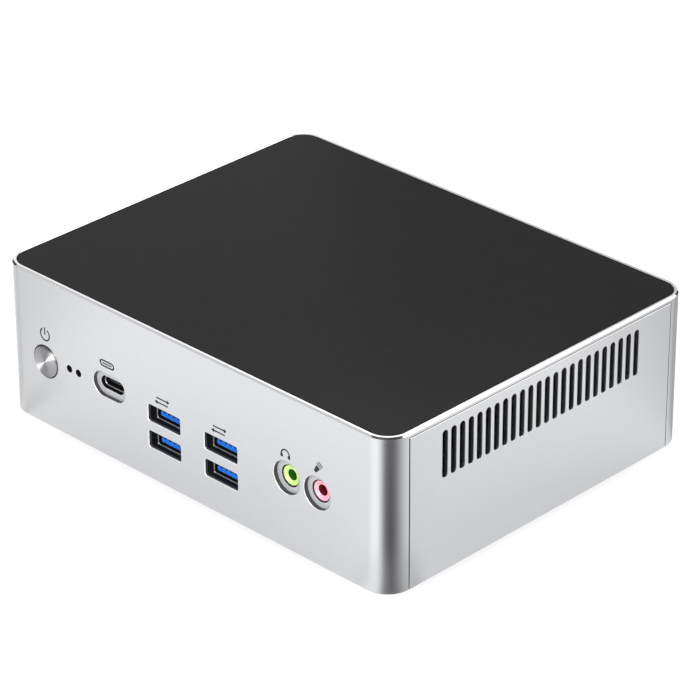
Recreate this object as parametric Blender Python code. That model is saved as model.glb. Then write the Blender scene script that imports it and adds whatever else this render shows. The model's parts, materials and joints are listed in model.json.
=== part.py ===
"""Mini pc: an aluminium case with vented side plates and a black top panel, a spring-back power button,
front and rear sockets, and a blower-cooled board with its memory, cards and drive.

The constants are millimetres and the scene is metres. X is the width, Y runs from the front face (-Y) to the
rear face (+Y), Z is up, and the feet stand on Z = 0.
"""

import math

import bmesh
import bpy
from mathutils import Vector

MM = 0.001
GAP = 0.3  # between pieces that touch on the real object

# Case
WIDTH, DEPTH, HEIGHT = 160.0, 127.0, 50.0
FOOT_HEIGHT = 2.0
BOTTOM, TOP = FOOT_HEIGHT, FOOT_HEIGHT + HEIGHT
FRONT, REAR = -DEPTH / 2, DEPTH / 2
CORNER = 8.0
WALL = 3.0
SIDE_WALL = 4.0
INNER_X, INNER_FRONT = WIDTH / 2 - SIDE_WALL, FRONT + WALL
INNER_DEPTH = DEPTH - 2 * WALL
INNER_CORNER = 4.0
RIM_CHAMFER = 0.5
RIM_INSET = 1.35
LEDGE_INSET = 5.5
LEDGE_TOP, LEDGE_BOTTOM = TOP - 1.95, TOP - 3.6
PANEL_THICK = 1.6

# Side plates
PLATE_THICK = 1.5
PLATE_HALF = 55.4
PLATE_TOP = TOP - 1.4
SLOT_COUNT, SLOT_PITCH, SLOT_MIDDLE = 24, 3.52, -0.6
SLOT_WIDTH, SLOT_LOW, SLOT_HIGH = 2.1, 32.3, 47.3
WINDOW_HALF, WINDOW_LOW, WINDOW_HIGH = 50.0, 8.0, 48.0

# Corner posts, cover and feet
POST_X, POST_Y = 69.0, 51.0
POST_TOP = 27.7
SCREW_X, SCREW_Y = 73.0, 56.0
SCREW_RADIUS = 1.5
COVER_THICK = 1.6
FOOT_X, FOOT_Y, FOOT_RADIUS = 60.0, 44.0, 6.5
VENT_COUNT, VENT_PITCH, VENT_Y = 12, 7.0, 46.0

# Front
BUTTON_X, BUTTON_Z = -61.6, 23.85
BUTTON_RADIUS, BUTTON_HOLE = 5.0, 5.25
FLANGE_RADIUS, FLANGE_THICK = 6.2, 1.0
STEM_RADIUS, STEM_GAP = 1.6, 1.5
PROUD = 0.6  # how far the button and the rear sockets stand out of the case
SWITCH_FRONT = -55.0
LED_X, LED_Z, LED_HOLE = (-51.0, -47.0), 25.4, 1.15
PIPE_RADIUS, PIPE_COLLAR = 0.7, 1.3
USB_C_X, USB_C_Z = -33.5, 26.0
USB_C_POCKET, USB_C_POCKET_DEPTH, USB_C_HOLE = (13.7, 8.05), 1.4, (9.6, 3.9)
USB_C_SHELL, USB_C_BORE, USB_C_TONGUE = (8.94, 3.2), (8.34, 2.6), (6.7, 0.7)
USB_A_X = (-10.1, 13.6)
USB_A_Z = (24.2, 15.4)
USB_A_HOLE = (13.5, 5.55, 0.6)
USB_A_SETBACK = 3.3
USB_A_HALF, USB_A_LOW = 7.0, 11.8
USB_A_DROP = 0.4  # the sockets lie this far under the middles of the holes in the wall
USB_A_SOCKET, USB_A_BACK = (12.6, 5.2), 17.7
USB_A_TONGUE = (5.6, -1.95, -0.05)  # half width, then its faces under the middle of the socket
JACK_X, JACK_Z = (40.4, 52.5), 25.6
JACK_POCKET, JACK_POCKET_DEPTH, JACK_HOLE, JACK_BORE = 5.2, 1.45, 3.5, 1.75
JACK_NOSE_SETBACK, JACK_HALF, JACK_BACK = 0.5, (3.4, 3.0), 12.3

# Rear
DC_X, DC_Z = 60.0, 21.5
HDMI_X, DISPLAY_X, REAR_VIDEO_Z = 38.0, 16.0, 24.3
LAN_X, LAN_Z = -9.0, 20.7
REAR_USB_X = -36.0
EXHAUST_COUNT, EXHAUST_PITCH, EXHAUST_X = 13, 4.0, 40.0

# Board and cooling
BOARD_LOW, BOARD_HIGH = 28.0, 29.6
BOARD_HALF_X, BOARD_HALF_Y = 75.5, 59.2
CHIP_X, CHIP_Y = -26.0, 8.0
FAN_X, FAN_Y, FAN_HALF = 40.0, 14.0, 30.0
FAN_LOW, FAN_HIGH = 36.0, 47.5
IMPELLER_RADIUS, BLADES = 24.0, 17
PIPE_LOW, PIPE_HIGH = 35.0, 37.7
FIN_Y, FIN_COUNT = (46.0, 58.5), 23


def clear_scene():
    for obj in list(bpy.data.objects):
        bpy.data.objects.remove(obj, do_unlink=True)


def material(name, colour, roughness, metallic=0.0):
    mat = bpy.data.materials.new(name)
    mat.use_nodes = True
    shader = mat.node_tree.nodes["Principled BSDF"]
    shader.inputs["Base Color"].default_value = (*colour, 1.0)
    shader.inputs["Roughness"].default_value = roughness
    shader.inputs["Metallic"].default_value = metallic
    return mat


# Outlines: lists of 2D points, counter-clockwise

def rectangle(low_u, low_v, high_u, high_v):
    return [(low_u, low_v), (high_u, low_v), (high_u, high_v), (low_u, high_v)]


def rounded(width, height, radius, centre=(0.0, 0.0), steps=4):
    points = []
    for quarter, (side_u, side_v) in enumerate(((1, 1), (-1, 1), (-1, -1), (1, -1))):
        middle_u = centre[0] + side_u * (width / 2 - radius)
        middle_v = centre[1] + side_v * (height / 2 - radius)
        for step in range(steps + 1):
            angle = math.pi / 2 * (quarter + step / steps)
            point = (middle_u + radius * math.cos(angle), middle_v + radius * math.sin(angle))
            if not points or math.dist(point, points[-1]) > 1e-6:
                points.append(point)
    if math.dist(points[0], points[-1]) < 1e-6:
        points.pop()
    return points


def circle(radius, centre=(0.0, 0.0), steps=24):
    turns = [2 * math.pi * step / steps for step in range(steps)]
    return [(centre[0] + radius * math.cos(t), centre[1] + radius * math.sin(t)) for t in turns]


# Closed shells, added to a bmesh

def world_point(u, v, level, along):
    places = {"X": (level, u, v), "Y": (u, level, v), "Z": (u, v, level)}
    return Vector(places[along]) * MM


def add_stack(bm, rings, along="Z"):
    """The closed shell through outlines with equal point counts: rings holds (outline, level) pairs."""
    loops = [[bm.verts.new(world_point(u, v, level, along)) for u, v in outline] for outline, level in rings]
    bm.faces.new(loops[0])
    bm.faces.new(loops[-1])
    for lower, upper in zip(loops, loops[1:]):
        for i, start in enumerate(lower):
            j = (i + 1) % len(lower)
            bm.faces.new((start, lower[j], upper[j], upper[i]))


def add_prism(bm, outline, low, high, along="Z"):
    add_stack(bm, [(outline, low), (outline, high)], along)


def add_box(bm, low, high):
    add_prism(bm, rectangle(low[0], low[1], high[0], high[1]), low[2], high[2])


def add_turned(bm, profile, centre, along="Z", steps=24):
    """A turned shell. profile holds (radius, level) pairs; centre holds the axis's two other coordinates."""
    rows = []
    for radius, level in profile:
        outline = [centre] if radius == 0 else circle(radius, centre, steps)
        rows.append([bm.verts.new(world_point(u, v, level, along)) for u, v in outline])
    for lower, upper in zip(rows, rows[1:]):
        for i in range(steps):
            j = (i + 1) % steps
            corners = [lower[i % len(lower)], lower[j % len(lower)]]
            corners += [upper[j % len(upper)], upper[i % len(upper)]]
            bm.faces.new(list(dict.fromkeys(corners)))


# Objects

def mesh_object(name, bm, origin=(0.0, 0.0, 0.0)):
    bmesh.ops.recalc_face_normals(bm, faces=bm.faces)
    place = Vector(origin) * MM
    bmesh.ops.translate(bm, verts=bm.verts, vec=-place)
    mesh = bpy.data.meshes.new(name)
    bm.to_mesh(mesh)
    bm.free()
    obj = bpy.data.objects.new(name, mesh)
    obj.location = place
    bpy.context.scene.collection.objects.link(obj)
    return obj


def node(name, bm, mat, origin=(0.0, 0.0, 0.0)):
    obj = mesh_object(name, bm, origin)
    obj.data.materials.append(mat)
    obj.data.shade_smooth()
    obj.data.set_sharp_from_angle(angle=math.radians(35))
    return obj


def combine(obj, bm, operation):
    """Cuts from obj, or joins to it, the shells in bm. They lie clear of each other."""
    tool = mesh_object(f"{obj.name}_tool", bm)
    tool.hide_render = True
    tool.display_type = "WIRE"
    modifier = obj.modifiers.new(operation.title(), "BOOLEAN")
    modifier.operation = operation
    modifier.solver = "EXACT"
    modifier.object = tool


def cut(obj, *shells):
    """Each shell is (function, arguments): all of them are cut in one go."""
    bm = bmesh.new()
    for add, *arguments in shells:
        add(bm, *arguments)
    combine(obj, bm, "DIFFERENCE")


def join(obj, *shells):
    bm = bmesh.new()
    for add, *arguments in shells:
        add(bm, *arguments)
    combine(obj, bm, "UNION")


def box_node(name, low, high, mat):
    bm = bmesh.new()
    add_box(bm, low, high)
    return node(name, bm, mat)


def prism_node(name, outline, low, high, mat, along="Z"):
    bm = bmesh.new()
    add_prism(bm, outline, low, high, along)
    return node(name, bm, mat)


def turned_node(name, profile, centre, mat, along="Z", steps=24):
    bm = bmesh.new()
    add_turned(bm, profile, centre, along, steps)
    return node(name, bm, mat)


def corners():
    return [("front_left", -1, -1), ("front_right", 1, -1), ("rear_left", -1, 1), ("rear_right", 1, 1)]


# Case

def case_ring(inset, steps=6):
    return rounded(WIDTH - 2 * inset, DEPTH - 2 * inset, CORNER - inset, steps=steps)


def case_frame(mat):
    bm = bmesh.new()
    add_stack(bm, [
        (case_ring(0.2), BOTTOM),
        (case_ring(0.0), BOTTOM + 0.2),
        (case_ring(0.0), TOP - RIM_CHAMFER),
        (case_ring(RIM_CHAMFER), TOP),
    ])
    frame = node("case_frame", bm, mat)
    hollow = rounded(2 * INNER_X, INNER_DEPTH, INNER_CORNER)
    ledge_hole = rounded(WIDTH - 2 * LEDGE_INSET, DEPTH - 2 * LEDGE_INSET, INNER_CORNER)
    cut(frame, (add_stack, [
        (hollow, BOTTOM - 1),
        (hollow, LEDGE_BOTTOM),
        (ledge_hole, LEDGE_BOTTOM),
        (ledge_hole, TOP + 1),
    ]))
    cut(frame, (add_prism, case_ring(RIM_INSET), LEDGE_TOP, TOP + 1))
    join(frame, *[(add_box, *corner_post(side_x, side_y)) for _, side_x, side_y in corners()])
    cut_plate_seats(frame)
    cut_front_pockets(frame)
    cut_wall_holes(frame)
    cut_screw_holes(frame)


def corner_post(side_x, side_y):
    """A block from the front or rear wall and the side wall, that the board and the cover are screwed to."""
    near = (side_x * POST_X, side_y * POST_Y)
    far = (side_x * (INNER_X + 1), side_y * (INNER_DEPTH / 2 + 1))
    low = (min(near[0], far[0]), min(near[1], far[1]), BOTTOM + COVER_THICK + GAP)
    high = (max(near[0], far[0]), max(near[1], far[1]), POST_TOP)
    return low, high


def cut_plate_seats(frame):
    """The rebate that each side plate sits in, and then the window behind its slots."""
    seats = []
    windows = []
    for side in (-1, 1):
        floor, outside = side * (WIDTH / 2 - PLATE_THICK - GAP), side * (WIDTH / 2 + 1)
        seats.append((add_box, (min(floor, outside), -PLATE_HALF, BOTTOM - 1),
                      (max(floor, outside), PLATE_HALF, PLATE_TOP)))
        inside = side * (INNER_X - 1)
        windows.append((add_box, (min(inside, outside), -WINDOW_HALF, WINDOW_LOW),
                        (max(inside, outside), WINDOW_HALF, WINDOW_HIGH)))
    cut(frame, *seats)
    cut(frame, *windows)


def cut_front_pockets(frame):
    usb_c = rounded(*USB_C_POCKET, USB_C_POCKET[1] / 2, (USB_C_X, USB_C_Z), 6)
    jacks = [circle(JACK_POCKET, (x, JACK_Z), 32) for x in JACK_X]
    cut(frame, (add_prism, usb_c, FRONT - 1, FRONT + USB_C_POCKET_DEPTH, "Y"),
        *[(add_prism, jack, FRONT - 1, FRONT + JACK_POCKET_DEPTH, "Y") for jack in jacks])


def cut_wall_holes(frame):
    """Every hole through the front and rear walls."""
    front = [circle(BUTTON_HOLE, (BUTTON_X, BUTTON_Z), 32)]
    front.append(rounded(*USB_C_HOLE, USB_C_HOLE[1] / 2, (USB_C_X, USB_C_Z)))
    front += [circle(LED_HOLE, (x, LED_Z), 12) for x in LED_X]
    front += [circle(JACK_HOLE, (x, JACK_Z), 24) for x in JACK_X]
    front += [rounded(*USB_A_HOLE, (x, z), 2) for x in USB_A_X for z in USB_A_Z]
    rear = [circle(4.4, (DC_X, DC_Z), 24)]
    rear.append(rounded(16.4, 6.4, 0.8, (HDMI_X, REAR_VIDEO_Z), 2))
    rear.append(rounded(17.6, 6.4, 0.8, (DISPLAY_X, REAR_VIDEO_Z), 2))
    rear += [rounded(16.6, 14.6, 0.2, (LAN_X, LAN_Z), 1), rounded(14.6, 16.5, 0.2, (REAR_USB_X, 19.75), 1)]
    for i in range(EXHAUST_COUNT):
        x = EXHAUST_X + (i - (EXHAUST_COUNT - 1) / 2) * EXHAUST_PITCH
        rear.append(rounded(SLOT_WIDTH, 10.0, SLOT_WIDTH / 2, (x, 42.3), 2))
    cut(frame, *[(add_prism, outline, FRONT - 1, FRONT + WALL + 1, "Y") for outline in front],
        *[(add_prism, outline, REAR - WALL - 1, REAR + 1, "Y") for outline in rear])


def cut_screw_holes(frame):
    """A blind hole in each post from below for the cover, and one from above for the board."""
    holes = []
    for _, side_x, side_y in corners():
        outline = circle(SCREW_RADIUS + GAP, (side_x * SCREW_X, side_y * SCREW_Y), 12)
        holes.append((add_prism, outline, BOTTOM, 13.0))
        holes.append((add_prism, outline, 18.0, POST_TOP + 1))
    cut(frame, *holes)


def side_plate(name, side, mat):
    low_x, high_x = WIDTH / 2 - PLATE_THICK, WIDTH / 2
    if side < 0:
        low_x, high_x = -high_x, -low_x
    half = PLATE_HALF - GAP
    plate = prism_node(name, rectangle(-half, BOTTOM, half, PLATE_TOP - GAP), low_x, high_x, mat, "X")
    middle_z, length = (SLOT_LOW + SLOT_HIGH) / 2, SLOT_HIGH - SLOT_LOW
    slots = []
    for i in range(SLOT_COUNT):
        y = SLOT_MIDDLE + (i - (SLOT_COUNT - 1) / 2) * SLOT_PITCH
        outline = rounded(SLOT_WIDTH, length, SLOT_WIDTH / 2, (y, middle_z), 2)
        slots.append((add_prism, outline, low_x - 1, high_x + 1, "X"))
    cut(plate, *slots)


def top_panel(mat):
    outline = case_ring(RIM_INSET + GAP)
    prism_node("top_panel", outline, LEDGE_TOP + GAP, LEDGE_TOP + GAP + PANEL_THICK, mat)


def bottom_cover(mat):
    top = BOTTOM + COVER_THICK
    outline = rounded(2 * (INNER_X - GAP), INNER_DEPTH - 2 * GAP, INNER_CORNER - GAP)
    cover = prism_node("bottom_cover", outline, BOTTOM, top, mat)
    holes = []
    for _, side_x, side_y in corners():
        stem = circle(2.3, (side_x * FOOT_X, side_y * FOOT_Y), 12)
        holes.append((add_prism, stem, BOTTOM - 1, top + 1))
        sink = [(0, BOTTOM - 0.5), (3.7, BOTTOM - 0.5), (1.8, BOTTOM + 1.4), (1.8, top + 1), (0, top + 1)]
        holes.append((add_turned, sink, (side_x * SCREW_X, side_y * SCREW_Y), "Z", 16))
    for i in range(VENT_COUNT):
        x = (i - (VENT_COUNT - 1) / 2) * VENT_PITCH
        for y in (-VENT_Y, VENT_Y):
            holes.append((add_prism, rounded(3.0, 16.0, 1.5, (x, y), 2), BOTTOM - 1, top + 1))
    cut(cover, *holes)


def feet(mat):
    """Rubber feet with a stem that snaps through the cover."""
    top = FOOT_HEIGHT - GAP
    profile = [(0, 0), (FOOT_RADIUS - 0.5, 0), (FOOT_RADIUS, 0.5), (FOOT_RADIUS, top), (2.0, top), (2.0, 3.9),
               (2.6, 4.3), (2.0, 5.2), (0, 5.2)]
    for name, side_x, side_y in corners():
        turned_node(f"foot_{name}", profile, (side_x * FOOT_X, side_y * FOOT_Y), mat, steps=20)


def screws(mat):
    """Countersunk screws in the cover, and pan heads on the board, each with a cross recess."""
    cover = [(0, BOTTOM), (2.9, BOTTOM), (SCREW_RADIUS, BOTTOM + 1.4), (SCREW_RADIUS, 11.5), (0, 12.5)]
    board = [(0, 19.0), (SCREW_RADIUS, 20.0), (SCREW_RADIUS, BOARD_HIGH + GAP), (2.8, BOARD_HIGH + GAP),
             (2.8, BOARD_HIGH + 1.6), (2.2, BOARD_HIGH + 2.2), (0, BOARD_HIGH + 2.2)]
    for name, side_x, side_y in corners():
        place = (side_x * SCREW_X, side_y * SCREW_Y)
        for kind, profile, low, high in (("cover", cover, BOTTOM - 1, BOTTOM + 0.8),
                                         ("board", board, BOARD_HIGH + 1.2, BOARD_HIGH + 3)):
            screw = turned_node(f"{kind}_screw_{name}", profile, place, mat, steps=12)
            cut(screw, (add_prism, cross(place, 1.5, 0.3), low, high))


def cross(centre, reach, half):
    """The outline of a plus sign."""
    quarter = [(reach, -half), (reach, half), (half, half)]
    points = []
    for turn in range(4):
        for u, v in quarter:
            for _ in range(turn):
                u, v = -v, u
            points.append((centre[0] + u, centre[1] + v))
    return points


# Power button

def power_button(mat):
    """A metal cap with a flange behind the wall and a stem that pushes the switch. It moves along +Y."""
    front = FRONT - PROUD
    flange = INNER_FRONT + GAP
    back, stem_end = flange + FLANGE_THICK, SWITCH_FRONT - STEM_GAP
    profile = [(0, front + 0.12), (BUTTON_RADIUS - 0.3, front), (BUTTON_RADIUS, front + 0.3)]
    profile += [(BUTTON_RADIUS, flange), (FLANGE_RADIUS, flange), (FLANGE_RADIUS, back)]
    profile += [(STEM_RADIUS, back), (STEM_RADIUS, stem_end), (0, stem_end)]
    bm = bmesh.new()
    add_turned(bm, profile, (BUTTON_X, BUTTON_Z), "Y", 32)
    node("power_button", bm, mat, (BUTTON_X, flange, BUTTON_Z))


def button_spring(mat):
    """A coil round the stem, between the flange and the switch."""
    start, end = INNER_FRONT + 2 * GAP + FLANGE_THICK, SWITCH_FRONT - GAP
    coil, wire, turns, steps = 2.55, 0.22, 3, 12
    curve = bpy.data.curves.new("button_spring", "CURVE")
    curve.dimensions = "3D"
    curve.bevel_depth = wire * MM
    curve.bevel_resolution = 1
    curve.use_fill_caps = True
    spline = curve.splines.new("POLY")
    count = turns * steps + 1
    spline.points.add(count - 1)
    for i, point in enumerate(spline.points):
        angle = 2 * math.pi * i / steps
        level = start + wire + (end - start - 2 * wire) * i / (count - 1)
        place = Vector((BUTTON_X + coil * math.cos(angle), level, BUTTON_Z + coil * math.sin(angle)))
        point.co = (*(place * MM), 1.0)
    obj = bpy.data.objects.new("button_spring", curve)
    bpy.context.scene.collection.objects.link(obj)
    curve.materials.append(mat)


def power_switch(body_mat, plunger_mat):
    """The switch hangs under the board's front edge. Its plunger moves with the button."""
    outline = rectangle(BUTTON_X - 3.1, BUTTON_Z - 3.1, BUTTON_X + 3.1, BOARD_LOW - GAP)
    switch = prism_node("power_switch", outline, SWITCH_FRONT, SWITCH_FRONT + 4.5, body_mat, "Y")
    cut(switch, (add_prism, circle(1.5, (BUTTON_X, BUTTON_Z), 16), SWITCH_FRONT - 1, SWITCH_FRONT + 2.2, "Y"))
    start, end = SWITCH_FRONT - 1.2, SWITCH_FRONT + 1.2
    profile = [(0, start), (1.0, start), (1.2, start + 0.2), (1.2, end), (0, end)]
    bm = bmesh.new()
    add_turned(bm, profile, (BUTTON_X, BUTTON_Z), "Y", 12)
    node("switch_plunger", bm, plunger_mat, (BUTTON_X, start, BUTTON_Z))


def light_pipes(mat):
    """Each pipe runs from its hole to a lamp under the board."""
    for name, x in zip(("power_light_pipe", "drive_light_pipe"), LED_X):
        face, collar, end = FRONT + 1.0, INNER_FRONT + GAP, INNER_FRONT + 4.5
        profile = [(0, face), (PIPE_RADIUS, face), (PIPE_RADIUS, collar), (PIPE_COLLAR, collar)]
        profile += [(PIPE_COLLAR, end), (0, end)]
        pipe = turned_node(name, profile, (x, LED_Z), mat, "Y", 12)
        join(pipe, (add_box, (x - 0.9, end - 2.3, LED_Z), (x + 0.9, end - 0.3, BOARD_LOW - GAP)))


# Front sockets

def usb_c(shell_mat, tongue_mat):
    front = FRONT + USB_C_POCKET_DEPTH + 0.9
    centre = (USB_C_X, USB_C_Z)
    outline, bore = (rounded(*size, size[1] / 2, centre) for size in (USB_C_SHELL, USB_C_BORE))
    shell = prism_node("usb_c_shell", outline, front, front + 7.4, shell_mat, "Y")
    cut(shell, (add_prism, bore, front - 1, front + 6.6, "Y"))
    outline = rounded(*USB_C_TONGUE, 0.3, centre, 2)
    prism_node("usb_c_tongue", outline, front + 0.9, front + 6.3, tongue_mat, "Y")


def usb_a_stack(name, x, face, inward, shell_mat, tongue_mat):
    """Two sockets, one above the other, under the board. face is the mouth's Y, and inward is 1 or -1."""
    back = face + inward * USB_A_BACK
    outline = rectangle(x - USB_A_HALF, USB_A_LOW, x + USB_A_HALF, BOARD_LOW - GAP)
    shell = prism_node(f"{name}_shell", outline, min(face, back), max(face, back), shell_mat, "Y")
    mouth, end = face - inward, back - inward * 2.7
    sockets = [rounded(*USB_A_SOCKET, 0.3, (x, z - USB_A_DROP), 1) for z in USB_A_Z]
    cut(shell, *[(add_prism, socket, min(mouth, end), max(mouth, end), "Y") for socket in sockets])
    tip, root = face + inward * 0.6, end - inward * GAP
    half, low, high = USB_A_TONGUE
    for level, z in zip(("upper", "lower"), USB_A_Z):
        middle = z - USB_A_DROP
        outline = rectangle(x - half, middle + low, x + half, middle + high)
        prism_node(f"{name}_{level}_tongue", outline, min(tip, root), max(tip, root), tongue_mat, "Y")


def audio_jack(name, x, mat):
    """A square body with a round nose in the wall, bored for the plug."""
    half_x, below = JACK_HALF
    body = rectangle(x - half_x, JACK_Z - below, x + half_x, BOARD_LOW - GAP)
    jack = prism_node(name, body, INNER_FRONT + GAP, INNER_FRONT + JACK_BACK, mat, "Y")
    face, nose_end = FRONT + JACK_POCKET_DEPTH + JACK_NOSE_SETBACK, INNER_FRONT + 1.0
    outer, dish = JACK_HOLE - GAP, JACK_BORE + 0.35
    nose = [(0, face + 0.5), (dish, face + 0.5), (dish + 0.4, face), (outer, face), (outer, nose_end)]
    nose.append((0, nose_end))
    join(jack, (add_turned, nose, (x, JACK_Z), "Y", 24))
    cut(jack, (add_prism, circle(JACK_BORE, (x, JACK_Z), 16), FRONT, INNER_FRONT + JACK_BACK - 1.8, "Y"))


# Rear sockets

def dc_inlet(body_mat, pin_mat):
    back = REAR - WALL - 0.3
    outline = rectangle(DC_X - 4.5, DC_Z - 5.0, DC_X + 4.5, BOARD_LOW - GAP)
    body = prism_node("dc_inlet", outline, back - 11.0, back, body_mat, "Y")
    join(body, (add_prism, circle(4.1, (DC_X, DC_Z), 24), back - 1.0, REAR + PROUD, "Y"))
    cut(body, (add_prism, circle(3.15, (DC_X, DC_Z), 20), back - 8.5, REAR + 2, "Y"))
    profile = [(0, back - 8.2), (1.0, back - 8.2), (1.0, REAR - 0.9), (0.7, REAR - 0.4), (0, REAR - 0.4)]
    turned_node("dc_inlet_pin", profile, (DC_X, DC_Z), pin_mat, "Y", 12)


def video_socket(name, x, size, tongue, shell_mat, tongue_mat):
    """A shell that hangs under the board, with a flat tongue in its mouth."""
    centre = (x, REAR_VIDEO_Z)
    back = REAR - 13.0
    outer = rounded(size[0] + 1.0, size[1] + 1.0, 0.8, centre, 2)
    shell = prism_node(f"{name}_shell", outer, back, REAR + PROUD, shell_mat, "Y")
    half = size[0] / 2
    join(shell, (add_box, (x - half, back + 0.5, REAR_VIDEO_Z), (x + half, back + 8.5, BOARD_LOW - GAP)))
    cut(shell, (add_prism, rounded(*size, 0.6, centre, 2), back + 1.5, REAR + 2, "Y"))
    half_x, low, high = tongue
    outline = rectangle(x - half_x, REAR_VIDEO_Z + low, x + half_x, REAR_VIDEO_Z + high)
    prism_node(f"{name}_tongue", outline, back + 1.5 + GAP, REAR - 0.6, tongue_mat, "Y")


def network_socket(shell_mat, insert_mat):
    """The shell's mouth has the stepped outline of the plug and its latch, which points down."""
    back = REAR - 20.5
    outline = rectangle(LAN_X - 8.0, LAN_Z - 6.9, LAN_X + 8.0, BOARD_LOW - GAP)
    shell = prism_node("network_socket", outline, back, REAR + PROUD, shell_mat, "Y")
    mouth = [(-5.9, -3.4), (-3.1, -3.4), (-3.1, -5.6), (3.1, -5.6), (3.1, -3.4), (5.9, -3.4), (5.9, 4.2),
             (-5.9, 4.2)]
    mouth = [(LAN_X + u, LAN_Z + v) for u, v in mouth]
    cut(shell, (add_prism, mouth, back + 3.0, REAR + 2, "Y"))
    comb = prism_node("network_contacts", rectangle(LAN_X - 4.6, LAN_Z + 1.9, LAN_X + 4.6, LAN_Z + 3.9),
                      back + 3.0 + GAP, REAR - 4.0, insert_mat, "Y")
    slits = []
    for i in range(9):
        x = LAN_X + (i - 4) * 1.02
        slits.append((add_box, (x - 0.2, back + 7.0, LAN_Z + 1.5), (x + 0.2, REAR - 3.0, LAN_Z + 2.4)))
    cut(comb, *slits)


# Board

def mainboard(mat):
    """The board has a screw hole at each corner, and a notch behind the power button's flange."""
    outline = rounded(2 * BOARD_HALF_X, 2 * BOARD_HALF_Y, INNER_CORNER - 0.5, steps=3)
    board = prism_node("mainboard", outline, BOARD_LOW, BOARD_HIGH, mat)
    outlines = [circle(SCREW_RADIUS + GAP, (sx * SCREW_X, sy * SCREW_Y), 12) for _, sx, sy in corners()]
    outlines.append(rectangle(BUTTON_X - 7.4, -BOARD_HALF_Y - 1, BUTTON_X + 7.4, -BOARD_HALF_Y + 1.4))
    cut(board, *[(add_prism, outline, BOARD_LOW - 1, BOARD_HIGH + 1) for outline in outlines])


def memory(socket_mat, module_mat):
    """Two decks of memory lie under the board, with their edges in one socket."""
    middle, edge = -36.0, -36.5
    decks = (24.0, 19.4)
    low, high = (middle - 36.0, edge, 17.0), (middle + 36.0, edge + 7.0, BOARD_LOW - GAP)
    socket = box_node("memory_socket", low, high, socket_mat)
    cut(socket, *[(add_box, (middle - 34.2, edge + 3.0, z - GAP), (middle + 34.2, edge + 8.0, z + 1.0 + GAP))
                  for z in decks])
    for name, z in zip(("memory_module_upper", "memory_module_lower"), decks):
        low, high = (middle - 33.8, edge + 3.3, z), (middle + 33.8, edge + 33.3, z + 1.0)
        module = box_node(name, low, high, module_mat)
        chips = []
        for i in range(4):
            x = middle + (i - 1.5) * 15.5
            chips.append((add_box, (x - 5.5, edge + 13.5, z - 1.0), (x + 5.5, edge + 27.5, z + 0.5)))
        join(module, *chips)


def cards(ssd_mat, radio_mat, cell_mat):
    """The storage card, the radio card and the clock cell under the board."""
    ssd = box_node("storage_card", (-7.0, 10.0, 25.2), (73.0, 32.0, 26.0), ssd_mat)
    chips = [(-2.0, 12.0), (20.0, 15.0), (46.0, 18.0)]
    join(ssd, *[(add_box, (x, 13.5, 24.0), (x + width, 28.5, 25.6)) for x, width in chips])
    radio = box_node("radio_card", (18.0, -34.0, 25.2), (40.0, -4.0, 26.0), radio_mat)
    join(radio, (add_box, (20.0, -28.0, 23.8), (38.0, -10.0, 25.6)))
    turned_node("clock_cell", [(0, 24.4), (9.2, 24.4), (9.6, 24.8), (10.0, 25.2), (10.0, BOARD_LOW - GAP),
                               (0, BOARD_LOW - GAP)], (58.0, -20.0), cell_mat)


def drive(bracket_mat, drive_mat):
    """A drive in a tray above the bottom cover."""
    low = BOTTOM + COVER_THICK + GAP
    tray = box_node("drive_bracket", (-51.5, -34.5, low), (51.5, 34.5, low + 1.0), bracket_mat)
    join(tray, *[(add_box, (x - 0.5, -34.5, low + 0.5), (x + 0.5, 34.5, 12.0)) for x in (-51.0, 51.0)])
    windows = [rounded(26.0, 50.0, 6.0, (x, 0), 4) for x in (-33.0, 0.0, 33.0)]
    cut(tray, *[(add_prism, window, low - 1, low + 2) for window in windows])
    unit = box_node("storage_drive", (-50.1, -34.9, low + 1.3), (50.1, 34.9, low + 8.3), drive_mat)
    cut(unit, (add_box, (-51.0, -20.0, low + 0.5), (-45.0, 20.0, low + 4.5)))


# Cooling

def processor(chip_mat, plate_mat):
    low = BOARD_HIGH + GAP
    corner, far = (CHIP_X - 21, CHIP_Y - 14, low), (CHIP_X + 21, CHIP_Y + 14, low + 1.2)
    package = box_node("processor", corner, far, chip_mat)
    join(package, (add_box, (CHIP_X - 9, CHIP_Y - 7, low + 1.0), (CHIP_X + 9, CHIP_Y + 7, low + 2.0)))
    corner, far = (CHIP_X - 24, CHIP_Y - 22, low + 2.3), (CHIP_X + 24, CHIP_Y + 22, PIPE_LOW - GAP)
    plate = box_node("cold_plate", corner, far, plate_mat)
    ears = [(CHIP_X + sx * 24, CHIP_Y + sy * 19) for sx in (-1, 1) for sy in (-1, 1)]
    join(plate, *[(add_prism, circle(4.5, ear, 12), low + 3.0, low + 4.4) for ear in ears])


def heat_pipes(mat):
    """Flat pipes from the cold plate, bent round to lie under the fins."""
    bend = 12.0
    for name, x, y in (("heat_pipe_inner", CHIP_X + 4.5, 49.3), ("heat_pipe_outer", CHIP_X - 4.5, 55.3)):
        line = [(x, CHIP_Y - 20.0), (x, y - bend)]
        line += [(x + bend - bend * math.cos(t), y - bend + bend * math.sin(t))
                 for t in (math.pi / 16 * i for i in range(1, 8))]
        line += [(x + bend, y), (68.0, y)]
        prism_node(name, strip(line, 2.7), PIPE_LOW, PIPE_HIGH, mat)


def strip(line, half):
    """The outline of a strip of constant width along a line of points."""
    left, right = [], []
    for i, point in enumerate(line):
        before, after = line[max(i - 1, 0)], line[min(i + 1, len(line) - 1)]
        run = Vector((after[0] - before[0], after[1] - before[1])).normalized()
        left.append((point[0] - run.y * half, point[1] + run.x * half))
        right.append((point[0] + run.y * half, point[1] - run.x * half))
    return right + left[::-1]


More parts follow.
